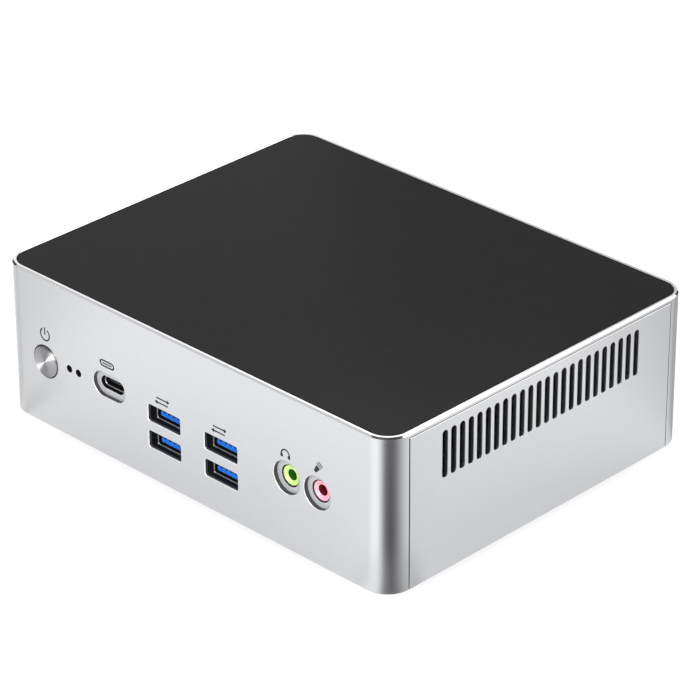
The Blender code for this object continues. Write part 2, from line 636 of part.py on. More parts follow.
def fin_stack(mat):
    """Thin fins on a base sheet, with the air passing between them along Y."""
    low, high = PIPE_HIGH + GAP, FAN_HIGH
    left, right = FAN_X - 28.0, FAN_X + 28.0
    base = box_node("fin_stack", (left, FIN_Y[0], low), (right, FIN_Y[1], low + 0.6), mat)
    fins = []
    for i in range(FIN_COUNT):
        x = left + 0.3 + i * (right - left - 0.6) / (FIN_COUNT - 1)
        fins.append((add_box, (x - 0.2, FIN_Y[0] + 0.1, low + 0.2), (x + 0.2, FIN_Y[1] - 0.1, high)))
    join(base, *fins)


def fan_housing(mat):
    """A square shell open above, below and to the fins, with a hub on three spokes under the impeller."""
    end = FIN_Y[0] - GAP
    outline = rectangle(FAN_X - FAN_HALF, FAN_Y - FAN_HALF, FAN_X + FAN_HALF, end)
    housing = prism_node("fan_housing", outline, FAN_LOW, FAN_HIGH, mat)
    chamber = circle(27.0, (FAN_X, FAN_Y), 36)
    cut(housing, (add_prism, chamber, FAN_LOW + 1.0, FAN_HIGH - 1.0))
    outlet = (FAN_X - 27.0, FAN_Y + 2.0, FAN_LOW + 1.0), (FAN_X + 27.0, end + 1, FAN_HIGH - 1.0)
    cut(housing, (add_box, *outlet))
    inlet = circle(18.0, (FAN_X, FAN_Y), 28)
    cut(housing, (add_prism, inlet, FAN_LOW - 1, FAN_LOW + 2), (add_prism, inlet, FAN_HIGH - 2, FAN_HIGH + 1))
    centre = Vector((FAN_X, FAN_Y))
    spokes = []
    for i in range(3):
        run = Vector((math.cos(2 * math.pi * i / 3 + 0.5), math.sin(2 * math.pi * i / 3 + 0.5)))
        ends = [tuple(centre + run * 8.0), tuple(centre + run * 19.0)]
        spokes.append((add_prism, strip(ends, 1.2), FAN_LOW, FAN_LOW + 0.9))
    join(housing, *spokes)
    join(housing, (add_turned, [(0, FAN_LOW), (9.0, FAN_LOW), (9.0, FAN_LOW + 1.0), (2.0, FAN_LOW + 1.0),
                                (2.0, FAN_LOW + 5.0), (0, FAN_LOW + 5.0)], (FAN_X, FAN_Y)))


def fan_impeller(mat):
    """A cup over the hub's post, with swept blades that run between it and the housing. It turns about Z."""
    low, high = FAN_LOW + 1.6, FAN_HIGH - 1.6
    bm = bmesh.new()
    add_turned(bm, [(0, low), (13.0, low), (13.0, high - 0.8), (12.2, high), (0, high)], (FAN_X, FAN_Y))
    impeller = node("fan_impeller", bm, mat, (FAN_X, FAN_Y, low))
    blades = []
    for i in range(BLADES):
        turn = 2 * math.pi * i / BLADES
        line = []
        for step in range(4):
            reach = 12.0 + (IMPELLER_RADIUS - 12.0) * step / 3
            angle = turn - 0.42 * step / 3
            line.append((FAN_X + reach * math.cos(angle), FAN_Y + reach * math.sin(angle)))
        blades.append((add_prism, strip(line, 0.3), low + 0.4, high - 0.6))
    join(impeller, *blades)
    cut(impeller, (add_turned, [(0, low - 1), (2.4, low - 1), (2.4, FAN_LOW + 5.6), (0, FAN_LOW + 5.6)],
                   (FAN_X, FAN_Y)))


def main():
    clear_scene()
    silver = material("bead_blasted_aluminium", (0.62, 0.62, 0.63), 0.42, 1.0)
    button_metal = material("spun_aluminium", (0.70, 0.70, 0.71), 0.28, 1.0)
    panel_black = material("satin_black_panel", (0.022, 0.022, 0.024), 0.38)
    black = material("black_plastic", (0.018, 0.018, 0.020), 0.5)
    cover_paint = material("dark_painted_steel", (0.10, 0.10, 0.105), 0.5)
    rubber = material("rubber", (0.03, 0.03, 0.03), 0.8)
    steel = material("steel", (0.55, 0.55, 0.56), 0.3, 1.0)
    nickel = material("nickel_plate", (0.68, 0.67, 0.64), 0.25, 1.0)
    blue = material("blue_tongue", (0.03, 0.20, 0.85), 0.4)
    green = material("lime_green_plastic", (0.45, 0.80, 0.20), 0.4)
    pink = material("pink_plastic", (0.85, 0.32, 0.38), 0.4)
    clear = material("light_pipe", (0.75, 0.76, 0.78), 0.2)
    board = material("circuit_board", (0.01, 0.06, 0.03), 0.45)
    copper = material("copper", (0.75, 0.36, 0.22), 0.3, 1.0)
    gold = material("gold_contacts", (0.83, 0.62, 0.25), 0.3, 1.0)

    case_frame(silver)
    side_plate("left_side_plate", -1, silver)
    side_plate("right_side_plate", 1, silver)
    top_panel(panel_black)
    bottom_cover(cover_paint)
    feet(rubber)
    screws(steel)
    power_button(button_metal)
    button_spring(steel)
    power_switch(black, black)
    light_pipes(clear)
    usb_c(nickel, black)
    for name, x in zip(("front_usb_left", "front_usb_right"), USB_A_X):
        usb_a_stack(name, x, FRONT + USB_A_SETBACK, 1, nickel, blue)
    audio_jack("headphone_jack", JACK_X[0], green)
    audio_jack("microphone_jack", JACK_X[1], pink)
    dc_inlet(black, nickel)
    video_socket("hdmi", HDMI_X, (14.4, 4.6), (5.9, -0.2, 0.9), nickel, black)
    video_socket("display_port", DISPLAY_X, (15.6, 4.7), (5.6, -0.4, 0.8), nickel, black)
    network_socket(nickel, gold)
    usb_a_stack("rear_usb", REAR_USB_X, REAR + PROUD, -1, nickel, blue)
    mainboard(board)
    memory(black, board)
    cards(board, board, steel)
    drive(steel, black)
    processor(board, copper)
    heat_pipes(copper)
    fin_stack(steel)
    fan_housing(black)
    fan_impeller(black)


main()
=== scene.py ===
"""The looks of a mini pc: detailed metal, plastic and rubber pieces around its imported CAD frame.

Lengths are millimetres until a shell is made, and the scene is in metres. X is the width, Y runs from
the front face (-Y) to the rear face (+Y) and Z is up. Places come from the frame's nodes.
"""

import json
import math

import bmesh
import bpy
from mathutils import Matrix, Vector


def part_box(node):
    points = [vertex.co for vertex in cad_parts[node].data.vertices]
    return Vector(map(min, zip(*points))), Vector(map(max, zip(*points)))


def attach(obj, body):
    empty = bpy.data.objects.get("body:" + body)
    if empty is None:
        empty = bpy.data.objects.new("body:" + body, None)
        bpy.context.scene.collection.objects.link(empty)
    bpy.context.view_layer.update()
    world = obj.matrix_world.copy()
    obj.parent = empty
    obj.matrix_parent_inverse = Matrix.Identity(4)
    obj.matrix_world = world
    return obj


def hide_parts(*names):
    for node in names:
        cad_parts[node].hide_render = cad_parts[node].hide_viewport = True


MM = 0.001
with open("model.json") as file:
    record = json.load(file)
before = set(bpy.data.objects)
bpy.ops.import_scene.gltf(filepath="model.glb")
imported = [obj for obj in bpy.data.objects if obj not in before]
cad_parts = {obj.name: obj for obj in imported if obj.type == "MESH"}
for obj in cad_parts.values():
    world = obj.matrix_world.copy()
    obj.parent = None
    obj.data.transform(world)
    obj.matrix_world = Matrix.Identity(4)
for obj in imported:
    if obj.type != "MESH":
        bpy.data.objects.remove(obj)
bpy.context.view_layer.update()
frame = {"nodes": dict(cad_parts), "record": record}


def box_mm(node):
    low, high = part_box(node)
    return Vector(low) / MM, Vector(high) / MM


def box_and_middle(node):
    """A node's box, and its middle's X and Z."""
    low, high = box_mm(node)
    return low, high, (low.x + high.x) / 2, (low.z + high.z) / 2


def box_from_face(node):
    """A node's box, its middle's X, its way in from the outside (1 or -1), and its outer and inner Y."""
    low, high, x, _ = box_and_middle(node)
    inward = 1 if low.y < 0 else -1
    return low, high, x, inward, *(low.y, high.y)[::inward]


def middle_mm(node):
    low, high = box_mm(node)
    return (low + high) / 2


# Driving dimensions, read from the frame or kept the same as the real piece's

CASE_LOW, CASE_HIGH = box_mm("case_frame")
WIDTH, DEPTH = CASE_HIGH.x - CASE_LOW.x, CASE_HIGH.y - CASE_LOW.y
BOTTOM, TOP = CASE_LOW.z, CASE_HIGH.z
FRONT, REAR = CASE_LOW.y, CASE_HIGH.y
CORNER = 8.0
WALL, SIDE_WALL, INNER_CORNER = 3.0, 4.0, 4.0
THROUGH = WALL + 1  # a cut of this depth goes through a wall
SKIN = 1.1  # the front wall's visible thickness at the socket cut-outs
BEHIND_GAP = 0.3  # between a wall and the bodies behind it
BEHIND_FRONT, BEHIND_REAR = FRONT + WALL + BEHIND_GAP, REAR - WALL - BEHIND_GAP
RIM_CHAMFER, RIM_INSET, PANEL_GAP = 0.5, 1.35, 0.28
LEDGE_INSET = 5.5
EDGE, CUT_EDGE = 0.12, 0.13  # the small breaks on machined edges, and round the openings
PLATE_LOW, PLATE_HIGH = box_mm("right_side_plate")
SEAM = PLATE_HIGH.y + 0.25
SLOT_COUNT, SLOT_PITCH, SLOT_MIDDLE = 24, 3.52, -0.6
SLOT_WIDTH, SLOT_LOW, SLOT_HIGH = 2.1, 32.3, 47.3
BUTTON = middle_mm("power_button")
BUTTON_FACE = box_mm("power_button")[0].y
BUTTON_RADIUS, BUTTON_HOLE = 5.0, 5.32
LED_X = [middle_mm(name).x for name in ("power_light_pipe", "drive_light_pipe")]
LED_Z, LED_HOLE = box_mm("power_light_pipe")[0].z + 1.3, 1.15
USB_C = middle_mm("usb_c_shell")
USB_C_POCKET, USB_C_DEPTH = (13.8, 8.15), 1.45
USB_STACKS = ("front_usb_left", "front_usb_right")
USB_STACKS_LOW = box_mm("front_usb_left_shell")[0].x
USB_OPENING = (13.5, 5.55, 0.7)  # width, height and corner radius
TONGUE_DROP = 1.0  # from a socket's middle down to its tongue's
SOCKET_DROP = 0.4  # from an opening's middle down to its socket's
TONGUE_SAG = 0.2  # a tongue's moulding is this much lower than the top of its black cover, which is painted shade
CONTACT_PITCH = 2.0
JACKS = ("headphone_jack", "microphone_jack")
JACK_POCKET, JACK_DEPTH, JACK_HOLE, JACK_BORE = 5.28, 1.55, 3.5, 1.75
JACK_Z = box_mm("headphone_jack")[0].z + 3.0
USB_LEVELS = [middle_mm(f"front_usb_left_{level}_tongue").z + TONGUE_DROP for level in ("upper", "lower")]
CORNERS = ("front_left", "front_right", "rear_left", "rear_right")
POST_NEAR, POST_TOP = (69.0, 51.0), 27.7
VIDEO_Z, VIDEO_CONTACTS, NETWORK_Z = 24.3, 10, 20.7
REAR_SLOTS, REAR_SLOT_PITCH, REAR_SLOT_MIDDLE = 13, 4.0, (40.0, 42.3)
REAR_SLOT_HEIGHT, SLOT_RADIUS = 10.0, 1.05
COVER_SLOTS, COVER_SLOT_PITCH, COVER_SLOT_Y = 12, 7.0, 46.0
COVER_CORNER = 3.7
MARK_PROUD, MARK_SUNK = 0.02, 0.03


# Outlines are lists of 2D points, and a shape is a function from its growth to its outline

def rounded(width, height, radius, centre=(0.0, 0.0), steps=6, grow=0.0):
    """A rectangle with round corners, grown outwards by grow."""
    points = []
    reach_u, reach_v = width / 2 - radius, height / 2 - radius
    for quarter, (side_u, side_v) in enumerate(((1, 1), (-1, 1), (-1, -1), (1, -1))):
        for step in range(steps + 1):
            angle = math.pi / 2 * (quarter + step / steps)
            point = (centre[0] + side_u * reach_u + (radius + grow) * math.cos(angle),
                     centre[1] + side_v * reach_v + (radius + grow) * math.sin(angle))
            if not points or math.dist(point, points[-1]) > 1e-6:
                points.append(point)
    if math.dist(points[0], points[-1]) < 1e-6:
        points.pop()
    return points


def circle(radius, centre, steps, grow=0.0):
    turns = [2 * math.pi * step / steps for step in range(steps)]
    reach = radius + grow
    return [(centre[0] + reach * math.cos(t), centre[1] + reach * math.sin(t)) for t in turns]


def rounded_at(width, height, radius, centre, steps):
    return lambda grow: rounded(width, height, radius, centre, steps, grow)


def circle_at(radius, centre, steps):
    return lambda grow: circle(radius, centre, steps, grow)


def front_shape(node, radius, steps):
    """The shape of a node's box seen from the front, with round corners."""
    low, high, *centre = box_and_middle(node)
    return rounded_at(high.x - low.x, high.z - low.z, radius, centre, steps)


def layered(along, shape, *steps):
    """A shell for shells_object, cut or join, from a shape and (growth, level) pairs."""
    return add_stack, [(shape(grow), level) for grow, level in steps], along


def rectangle(low_u, low_v, high_u, high_v):
    return [(low_u, low_v), (high_u, low_v), (high_u, high_v), (low_u, high_v)]


def strip(line, half):
    """The outline of a band of constant width along a line of points."""
    left, right = [], []
    for i, point in enumerate(line):
        before, after = line[max(i - 1, 0)], line[min(i + 1, len(line) - 1)]
        run = Vector((after[0] - before[0], after[1] - before[1])).normalized()
        left.append((point[0] - run.y * half, point[1] + run.x * half))
        right.append((point[0] + run.y * half, point[1] - run.x * half))
    return right + left[::-1]


def arc(radius, start, end, centre, steps):
    """Points on an arc, with its angles in degrees."""
    turns = [math.radians(start + (end - start) * i / steps) for i in range(steps + 1)]
    return [(centre[0] + radius * math.cos(t), centre[1] + radius * math.sin(t)) for t in turns]


# Closed shells, added to a bmesh

def world_point(u, v, level, along):
    places = {"X": (level, u, v), "Y": (u, level, v), "Z": (u, v, level)}
    return Vector(places[along]) * MM


def add_stack(bm, rings, along="Z"):
    """The closed shell through outlines with equal point counts: rings holds (outline, level) pairs."""
    loops = [[bm.verts.new(world_point(u, v, level, along)) for u, v in outline] for outline, level in rings]
    bm.faces.new(loops[0])
    bm.faces.new(loops[-1])
    for lower, upper in zip(loops, loops[1:]):
        for i, start in enumerate(lower):
            j = (i + 1) % len(lower)
            bm.faces.new((start, lower[j], upper[j], upper[i]))


def add_prism(bm, outline, low, high, along="Z"):
    add_stack(bm, [(outline, low), (outline, high)], along)


def add_box(bm, low, high):
    add_prism(bm, rectangle(low[0], low[1], high[0], high[1]), low[2], high[2])


def add_turned(bm, profile, centre, along, steps, closed=False):
    """A turned shell. profile holds (radius, level) pairs; centre holds the axis's two other coordinates.

    Where closed, the profile's last point joins its first, round an empty middle.
    """
    rows = []
    for radius, level in profile:
        outline = [centre] if radius == 0 else circle(radius, centre, steps)
        rows.append([bm.verts.new(world_point(u, v, level, along)) for u, v in outline])
    for lower, upper in zip(rows, rows[1:] + rows[:1] if closed else rows[1:]):
        for i in range(steps):
            j = (i + 1) % steps
            corners = [lower[i % len(lower)], lower[j % len(lower)]]
            corners += [upper[j % len(upper)], upper[i % len(upper)]]
            bm.faces.new(list(dict.fromkeys(corners)))


# Pieces

def shells_object(name, *shells):
    """An object of closed shells. Each shell is (function, arguments)."""
    bm = bmesh.new()
    for add, *arguments in shells:
        add(bm, *arguments)
    bmesh.ops.recalc_face_normals(bm, faces=bm.faces)
    mesh = bpy.data.meshes.new(name)
    bm.to_mesh(mesh)
    bm.free()
    return add_object(name, mesh)


def add_object(name, data):
    obj = bpy.data.objects.new(name, data)
    bpy.context.scene.collection.objects.link(obj)
    return obj


def bake(obj):
    """Applies the object's modifiers to its mesh."""
    bpy.context.view_layer.update()
    evaluated = obj.evaluated_get(bpy.context.evaluated_depsgraph_get())
    mesh = bpy.data.meshes.new_from_object(evaluated)
    obj.modifiers.clear()
    obj.data = mesh


def combine(obj, operation, shells):
    tool = shells_object(f"{obj.name}_tool", *shells)
    modifier = obj.modifiers.new(operation, "BOOLEAN")
    modifier.operation = operation
    modifier.solver = "EXACT"
    modifier.object = tool
    bake(obj)
    bpy.data.objects.remove(tool)


def cut(obj, *shells):
    combine(obj, "DIFFERENCE", shells)


def join(obj, *shells):
    combine(obj, "UNION", shells)


def piece(obj, slot, body="case", replaces=(), smooth=30, materials=None):
    """Finishes a piece: its shading, its materials (by default the one under its record slot's name), body,
    and the CAD nodes it stands for.
    """
    obj.data.shade_smooth()
    obj.data.set_sharp_from_angle(angle=math.radians(smooth))
    weighted = obj.modifiers.new("WeightedNormal", "WEIGHTED_NORMAL")
    weighted.keep_sharp = True
    weighted.weight = 100
    bake(obj)
    obj.data.materials.clear()
    for name in materials or [slot]:
        obj.data.materials.append(MATERIALS[name])
    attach(obj, body)
    if replaces:
        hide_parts(*replaces)


def hole(shape, face, inward, depth, along="Y", chamfer=CUT_EDGE):
    """A cutter from a face, with a small chamfer at its mouth."""
    return layered(along, shape, (2 * chamfer, face - inward * chamfer), (0.0, face + inward * chamfer),
                 (0.0, face + inward * depth))


# Materials

class Shader:
    """A Principled material and short ways to add procedural nodes to it."""

    def __init__(self, name, colour, roughness, metallic=0.0, **values):
        self.material = bpy.data.materials.new(name)
        self.material.use_nodes = True
        self.tree = self.material.node_tree
        self.colour = colour
        self.set("Base Color", (*colour, 1.0))
        self.set("Roughness", roughness)
        self.set("Metallic", metallic)
        for key, value in values.items():
            self.set(key.replace("_", " "), value)
        self.place = self.node("ShaderNodeTexCoord").outputs["Object"]

    def put(self, node, socket, value):
        """Links a node's input to another node's output, or sets it to a plain value."""
        if isinstance(value, bpy.types.NodeSocket):
            self.tree.links.new(value, node.inputs[socket])
        else:
            node.inputs[socket].default_value = value

    def set(self, socket, value):
        self.put(self.tree.nodes["Principled BSDF"], socket, value)

    def node(self, kind, inputs=(), **values):
        made = self.tree.nodes.new(kind)
        for key, value in values.items():
            setattr(made, key, value)
        for socket, value in dict(inputs).items():
            self.put(made, socket, value)
        return made

    def stretched(self, scale):
        return self.node("ShaderNodeMapping", {"Scale": scale, "Vector": self.place}).outputs["Vector"]

    def noise(self, size, detail=2.0, place=None):
        """Noise with features of about that size, in millimetres."""
        inputs = {"Scale": 1.0 / (size * MM), "Detail": detail, "Vector": place or self.place}
        return self.node("ShaderNodeTexNoise", inputs).outputs["Fac"]

    def spread(self, value, low, high, start=0.3, end=0.7):
        """Maps a value from start to end onto low to high."""
        inputs = {"From Min": start, "From Max": end, "To Min": low, "To Max": high, "Value": value}
        return self.node("ShaderNodeMapRange", inputs).outputs["Result"]

    def ramp(self, value, stops):
        """A colour ramp through (position, colour) pairs."""
        ramp = self.node("ShaderNodeValToRGB", {"Fac": value})
        while len(ramp.color_ramp.elements) < len(stops):
            ramp.color_ramp.elements.new(0.5)
        for element, (position, colour) in zip(ramp.color_ramp.elements, stops):
            element.position = position
            element.color = (*colour, 1.0)
        return ramp.outputs["Color"]

    def shade(self, value, dark, light):
        """Varies the base colour by a factor that runs from dark to light."""
        ends = [[min(c * factor, 1.0) for c in self.colour] for factor in (dark, light)]
        self.set("Base Color", self.ramp(value, list(zip((0.3, 0.7), ends))))

    def rough(self, value, low, high):
        self.set("Roughness", self.spread(value, low, high))

    def bump(self, value, depth, strength):
        """A bump of that depth, in millimetres."""
        inputs = {"Distance": depth * MM, "Strength": strength, "Height": value}
        self.set("Normal", self.node("ShaderNodeBump", inputs).outputs["Normal"])


def anodised():
    """Bead-blasted and anodised aluminium: an even, very fine grain."""
    shader = Shader("anodised_aluminium", (0.582, 0.587, 0.604), 0.33, 1.0)
    grain = shader.noise(0.35, 3.0)
    shader.shade(grain, 0.965, 1.03)
    shader.rough(grain, 0.30, 0.36)
    shader.bump(shader.noise(0.16, 2.0), 0.004, 0.35)
    return shader.material


def grained(name, colour, roughness, size, rough, shade, detail=2.0, stretch=None, bump=None, patches=None,
            **values):
    """A surface with one fine noise in its roughness, colour and height.

    With patches, its colour varies over areas of that size instead. Sizes are millimetres.
    """
    shader = Shader(name, colour, roughness, **values)
    grain = shader.noise(size, detail, shader.stretched(stretch) if stretch else None)
    shader.rough(grain, *rough)
    shader.shade(shader.noise(patches) if patches else grain, *shade)
    if bump:
        shader.bump(grain, *bump)
    return shader.material


def spun():
    """A turned face: rings round the button's axis give the fan-shaped highlight."""
    shader = Shader("spun_aluminium", (0.43, 0.43, 0.445), 0.55, 1.0, Anisotropic=0.9,
                    Anisotropic_Rotation=0.25)
    axis = Vector((BUTTON.x, 0.0, BUTTON.z)) * MM
    centre = shader.node("ShaderNodeVectorMath", {0: shader.place, 1: axis}, operation="SUBTRACT")
    inputs = {"Scale": 1.0 / (2.2 * MM), "Distortion": 0.0, "Vector": centre.outputs["Vector"]}
    rings = shader.node("ShaderNodeTexWave", inputs, wave_type="RINGS", rings_direction="Y").outputs["Fac"]
    shader.rough(rings, 0.52, 0.58)
    shader.bump(rings, 0.001, 0.2)
    tangent = shader.node("ShaderNodeTangent", direction_type="RADIAL", axis="Y")
    shader.set("Tangent", tangent.outputs["Tangent"])
    return shader.material


def moulded(name, colour, roughness=0.42, grain=0.25, depth=0.006, **values):
    """Moulded plastic with a fine grain."""
    rough = (roughness - 0.05, roughness + 0.06)
    return grained(name, colour, roughness, grain, rough, (0.92, 1.06), bump=(depth, 0.4), patches=3.0,
                   **values)


def plated(name, colour, roughness=0.24):
    """Plated sheet metal with faint drawing lines."""
    rough = (roughness - 0.05, roughness + 0.1)
    return grained(name, colour, roughness, 0.3, rough, (0.93, 1.03), 3.0, (1.0, 0.12, 1.0), (0.003, 0.3),
                   patches=1.5, metallic=1.0)


def laminate():
    """Circuit board: solder mask, with traces as lighter lines."""
    shader = Shader("circuit_board", (0.008, 0.05, 0.028), 0.35)
    traces = shader.node("ShaderNodeTexBrick", {
        "Scale": 1.0 / (9.0 * MM), "Mortar Size": 0.03, "Color1": (0.008, 0.05, 0.028, 1.0),
        "Color2": (0.007, 0.043, 0.025, 1.0), "Mortar": (0.02, 0.11, 0.05, 1.0), "Vector": shader.place})
    shader.set("Base Color", traces.outputs["Color"])
    shader.rough(shader.noise(0.8), 0.28, 0.42)
    shader.bump(shader.noise(0.5), 0.01, 0.3)
    return shader.material


# Materials under their record slots' names, and more for the details

MATERIALS = {
    "anodised_silver": anodised(),
    # the cut rim, bright with faint tool marks
    "polished": grained("cut_rim", (0.90, 0.90, 0.91), 0.16, 0.5, (0.13, 0.20), (0.97, 1.0),
                        stretch=(1.0, 1.0, 6.0), metallic=1.0),
    # the openings' edges, their milled walls, painted near-black as painted shade, and the pockets' blasted
    # floors
    "cut_edge": grained("cut_edge", (0.68, 0.68, 0.70), 0.5, 0.3, (0.45, 0.55), (0.95, 1.05), metallic=0.3),
    "recess": grained("painted_shade_wall", (0.05, 0.05, 0.052), 0.5, 0.25, (0.42, 0.56), (0.85, 1.15),
                      stretch=(1.0, 5.0, 1.0), Specular_IOR_Level=0.25),
    "pocket_floor": grained("pocket_floor", (0.455, 0.46, 0.474), 0.5, 0.3, (0.45, 0.55), (0.96, 1.04), 3.0,
                            metallic=0.15),
    "spun_metal": spun(),
    "panel_black": moulded("satin_panel", (0.0085, 0.0085, 0.0095), 0.16, 0.35, 0.0004, IOR=1.14),
    "black_plastic": moulded("black_plastic", (0.012, 0.012, 0.013), 0.45),
    # Painted shade: near-black with little shine, laid where holes and sockets lie in shade.
    "painted_shade_lining": moulded("socket_painted_shade_lining", (0.007, 0.007, 0.008), 0.5, Specular_IOR_Level=0.1),
    "smoked_plastic": moulded("smoked_plastic", (0.004, 0.004, 0.005), 0.25),
    "blue_plastic": moulded("blue_plastic", (0.02, 0.22, 1.0), 0.38),
    "green_plastic": moulded("green_plastic", (0.57, 0.86, 0.26), 0.38),
    "pink_plastic": moulded("pink_plastic", (0.95, 0.40, 0.50), 0.38),
    "lip": moulded("socket_lip", (0.27, 0.27, 0.275), 0.45, Metallic=0.4),
    # Painted shade: darker copies of the jacks' green and pink plastic, for their shaded bores.
    "green_bore": moulded("green_bore", (0.02, 0.12, 0.008), 0.5, Specular_IOR_Level=0.2),
    "pink_bore": moulded("pink_bore", (0.11, 0.007, 0.014), 0.5, Specular_IOR_Level=0.2),
    "nickel_shell": plated("nickel_plate", (0.66, 0.65, 0.62)),
    "steel": plated("zinc_steel", (0.58, 0.58, 0.59), 0.32),
    "copper": plated("copper", (0.72, 0.33, 0.20), 0.3),
    "contact_gold": plated("gold_plate", (0.85, 0.62, 0.25), 0.25),
    "cover_paint": grained("powder_coat", (0.055, 0.055, 0.058), 0.5, 0.6, (0.42, 0.58), (0.85, 1.15), 3.0,
                           bump=(0.04, 0.5)),
    "foot_rubber": grained("foot_rubber", (0.022, 0.022, 0.022), 0.75, 0.4, (0.66, 0.85), (0.8, 1.25), 4.0,
                           bump=(0.03, 0.6), patches=2.0),
    "circuit_board": laminate(),
    "ink": grained("printed_ink", (0.02, 0.02, 0.023), 0.6, 0.3, (0.5, 0.6), (0.85, 1.2),
                   Specular_IOR_Level=0.2),
}
# The openings' dark walls and the black lining in this list are painted shade.
CASE_MATERIALS = ("anodised_silver", "polished", "cut_edge", "recess", "pocket_floor", "painted_shade_lining")
BLASTED, RIM, OPENING_EDGE, PAINTED_SHADE_WALL, POCKET_FLOOR, PAINTED_SHADE_BLACK = range(6)  # places in CASE_MATERIALS
SOCKET_MATERIALS = ("nickel_shell", "lip", "painted_shade_lining")


# Case

def case_ring(inset):
    return rounded(WIDTH, DEPTH, CORNER, steps=16, grow=-inset)


def case_shell():
    shell = shells_object("case_shell", layered(
        "Z", case_ring, (0.2, BOTTOM), (0.0, BOTTOM + 0.2), (0.0, TOP - RIM_CHAMFER), (RIM_CHAMFER, TOP)))
    hollow = rounded(WIDTH - 2 * SIDE_WALL, DEPTH - 2 * WALL, INNER_CORNER)
    ledge = rounded(WIDTH - 2 * LEDGE_INSET, DEPTH - 2 * LEDGE_INSET, INNER_CORNER)
    step = TOP - 3.6
    cut(shell, (add_stack, [(hollow, BOTTOM - 1), (hollow, step), (ledge, step), (ledge, TOP + 1)]))
    cut(shell, layered("Z", case_ring, (RIM_INSET, TOP - 1.95), (RIM_INSET, TOP - 0.08),
                     (RIM_INSET - 0.16, TOP + 0.08)))
    join(shell, *corner_posts())
    for cutters in (plate_seats(), plate_windows(), front_pockets(), front_holes(), rear_holes()):
        cut(shell, *cutters)
    piece(shell, "anodised_silver", replaces=["case_frame"], materials=CASE_MATERIALS)
    for face in shell.data.polygons:
        face.material_index = shell_finish(face.center / MM, face.normal)


def shell_finish(place, normal):
    """A face's finish, or its painted shade, as its place in CASE_MATERIALS."""
    if place.z > TOP - RIM_CHAMFER and normal.z > 0.3:
        return RIM
    depth = place.y - FRONT
    if depth > WALL - 0.05 or abs(place.x) > WIDTH / 2 - CORNER or not BOTTOM + 3 < place.z < TOP - 5:
        return BLASTED
    if depth > 1 and normal.y < -0.9:
        return POCKET_FLOOR
    if abs(normal.y) > 0.95:
        return BLASTED
    # Painted shade: the button's hole, chamfer and all, takes the dark wall colour for the shaded gap round
    # the button.
    if place.x < LED_X[0] - 2:
        return PAINTED_SHADE_WALL
    # Painted shade: the lamp holes' walls and the USB-C socket's hole are painted black.
    lamp_hole = LED_X[0] - 2 < place.x < LED_X[1] + 2
    socket_hole = USB_C_DEPTH < depth and LED_X[1] < place.x < USB_STACKS_LOW
    if lamp_hole or socket_hole:
        return PAINTED_SHADE_BLACK
    return OPENING_EDGE if depth < CUT_EDGE else PAINTED_SHADE_WALL


def corner_posts():
    posts = []
    for side_x, side_y in ((-1, -1), (-1, 1), (1, -1), (1, 1)):
        near = (side_x * POST_NEAR[0], side_y * POST_NEAR[1])
        far = (side_x * (WIDTH / 2 - SIDE_WALL + 1), side_y * (DEPTH / 2 - WALL + 1))
        low = (min(near[0], far[0]), min(near[1], far[1]), BOTTOM + 1.9)
        posts.append((add_box, low, (max(near[0], far[0]), max(near[1], far[1]), POST_TOP)))
    return posts


def plate_seats():
    """The rebate for each side plate, with a fine break along its edges."""
    seats = []
    floor = WIDTH / 2 - (PLATE_HIGH.x - PLATE_LOW.x) - 0.3
    top = PLATE_HIGH.z + 0.25
    for side in (-1, 1):
        near = rectangle(-SEAM, BOTTOM - 1, SEAM, top)
        wide = rectangle(-SEAM - 0.2, BOTTOM - 1, SEAM + 0.2, top + 0.2)
        seats.append((add_stack, [(near, side * floor), (near, side * (WIDTH / 2 - 0.1)),
                                  (wide, side * (WIDTH / 2 + 0.1))], "X"))
    return seats


def plate_windows():
    windows = []
    for side in (-1, 1):
        ends = sorted((side * (WIDTH / 2 - SIDE_WALL - 1), side * (WIDTH / 2 + 1)))
        windows.append((add_box, (ends[0], -50.0, 8.0), (ends[1], 50.0, 48.0)))
    return windows


def front_pockets():
    cutters = [hole(rounded_at(*USB_C_POCKET, 4.05, (USB_C.x, USB_C.z), 16), FRONT, 1, USB_C_DEPTH)]
    for name in JACKS:
        shape = circle_at(JACK_POCKET, (middle_mm(name).x, JACK_Z), 64)
        cutters.append(hole(shape, FRONT, 1, JACK_DEPTH))
    return cutters


def front_holes():
    cutters = [hole(circle_at(BUTTON_HOLE, (BUTTON.x, BUTTON.z), 64), FRONT, 1, THROUGH)]
    for x in LED_X:
        cutters.append(hole(circle_at(LED_HOLE, (x, LED_Z), 32), FRONT, 1, THROUGH, chamfer=0.06))
    outlines = [rounded(9.9, 4.1, 2.05, (USB_C.x, USB_C.z), 12)]
    outlines += [circle(JACK_HOLE, (middle_mm(name).x, JACK_Z), 48) for name in JACKS]
    cutters += [(add_prism, outline, FRONT + 1, FRONT + THROUGH, "Y") for outline in outlines]
    for name in USB_STACKS:
        for level in ("upper", "lower"):
            tongue = middle_mm(f"{name}_{level}_tongue")
            shape = rounded_at(*USB_OPENING, (tongue.x, tongue.z + TONGUE_DROP + SOCKET_DROP), 5)
            cutters.append(layered("Y", shape, (0.4, FRONT - 0.2), (0.0, FRONT + 0.2), (0.0, FRONT + SKIN),
                                 (0.7, FRONT + SKIN), (0.7, FRONT + THROUGH)))
    return cutters


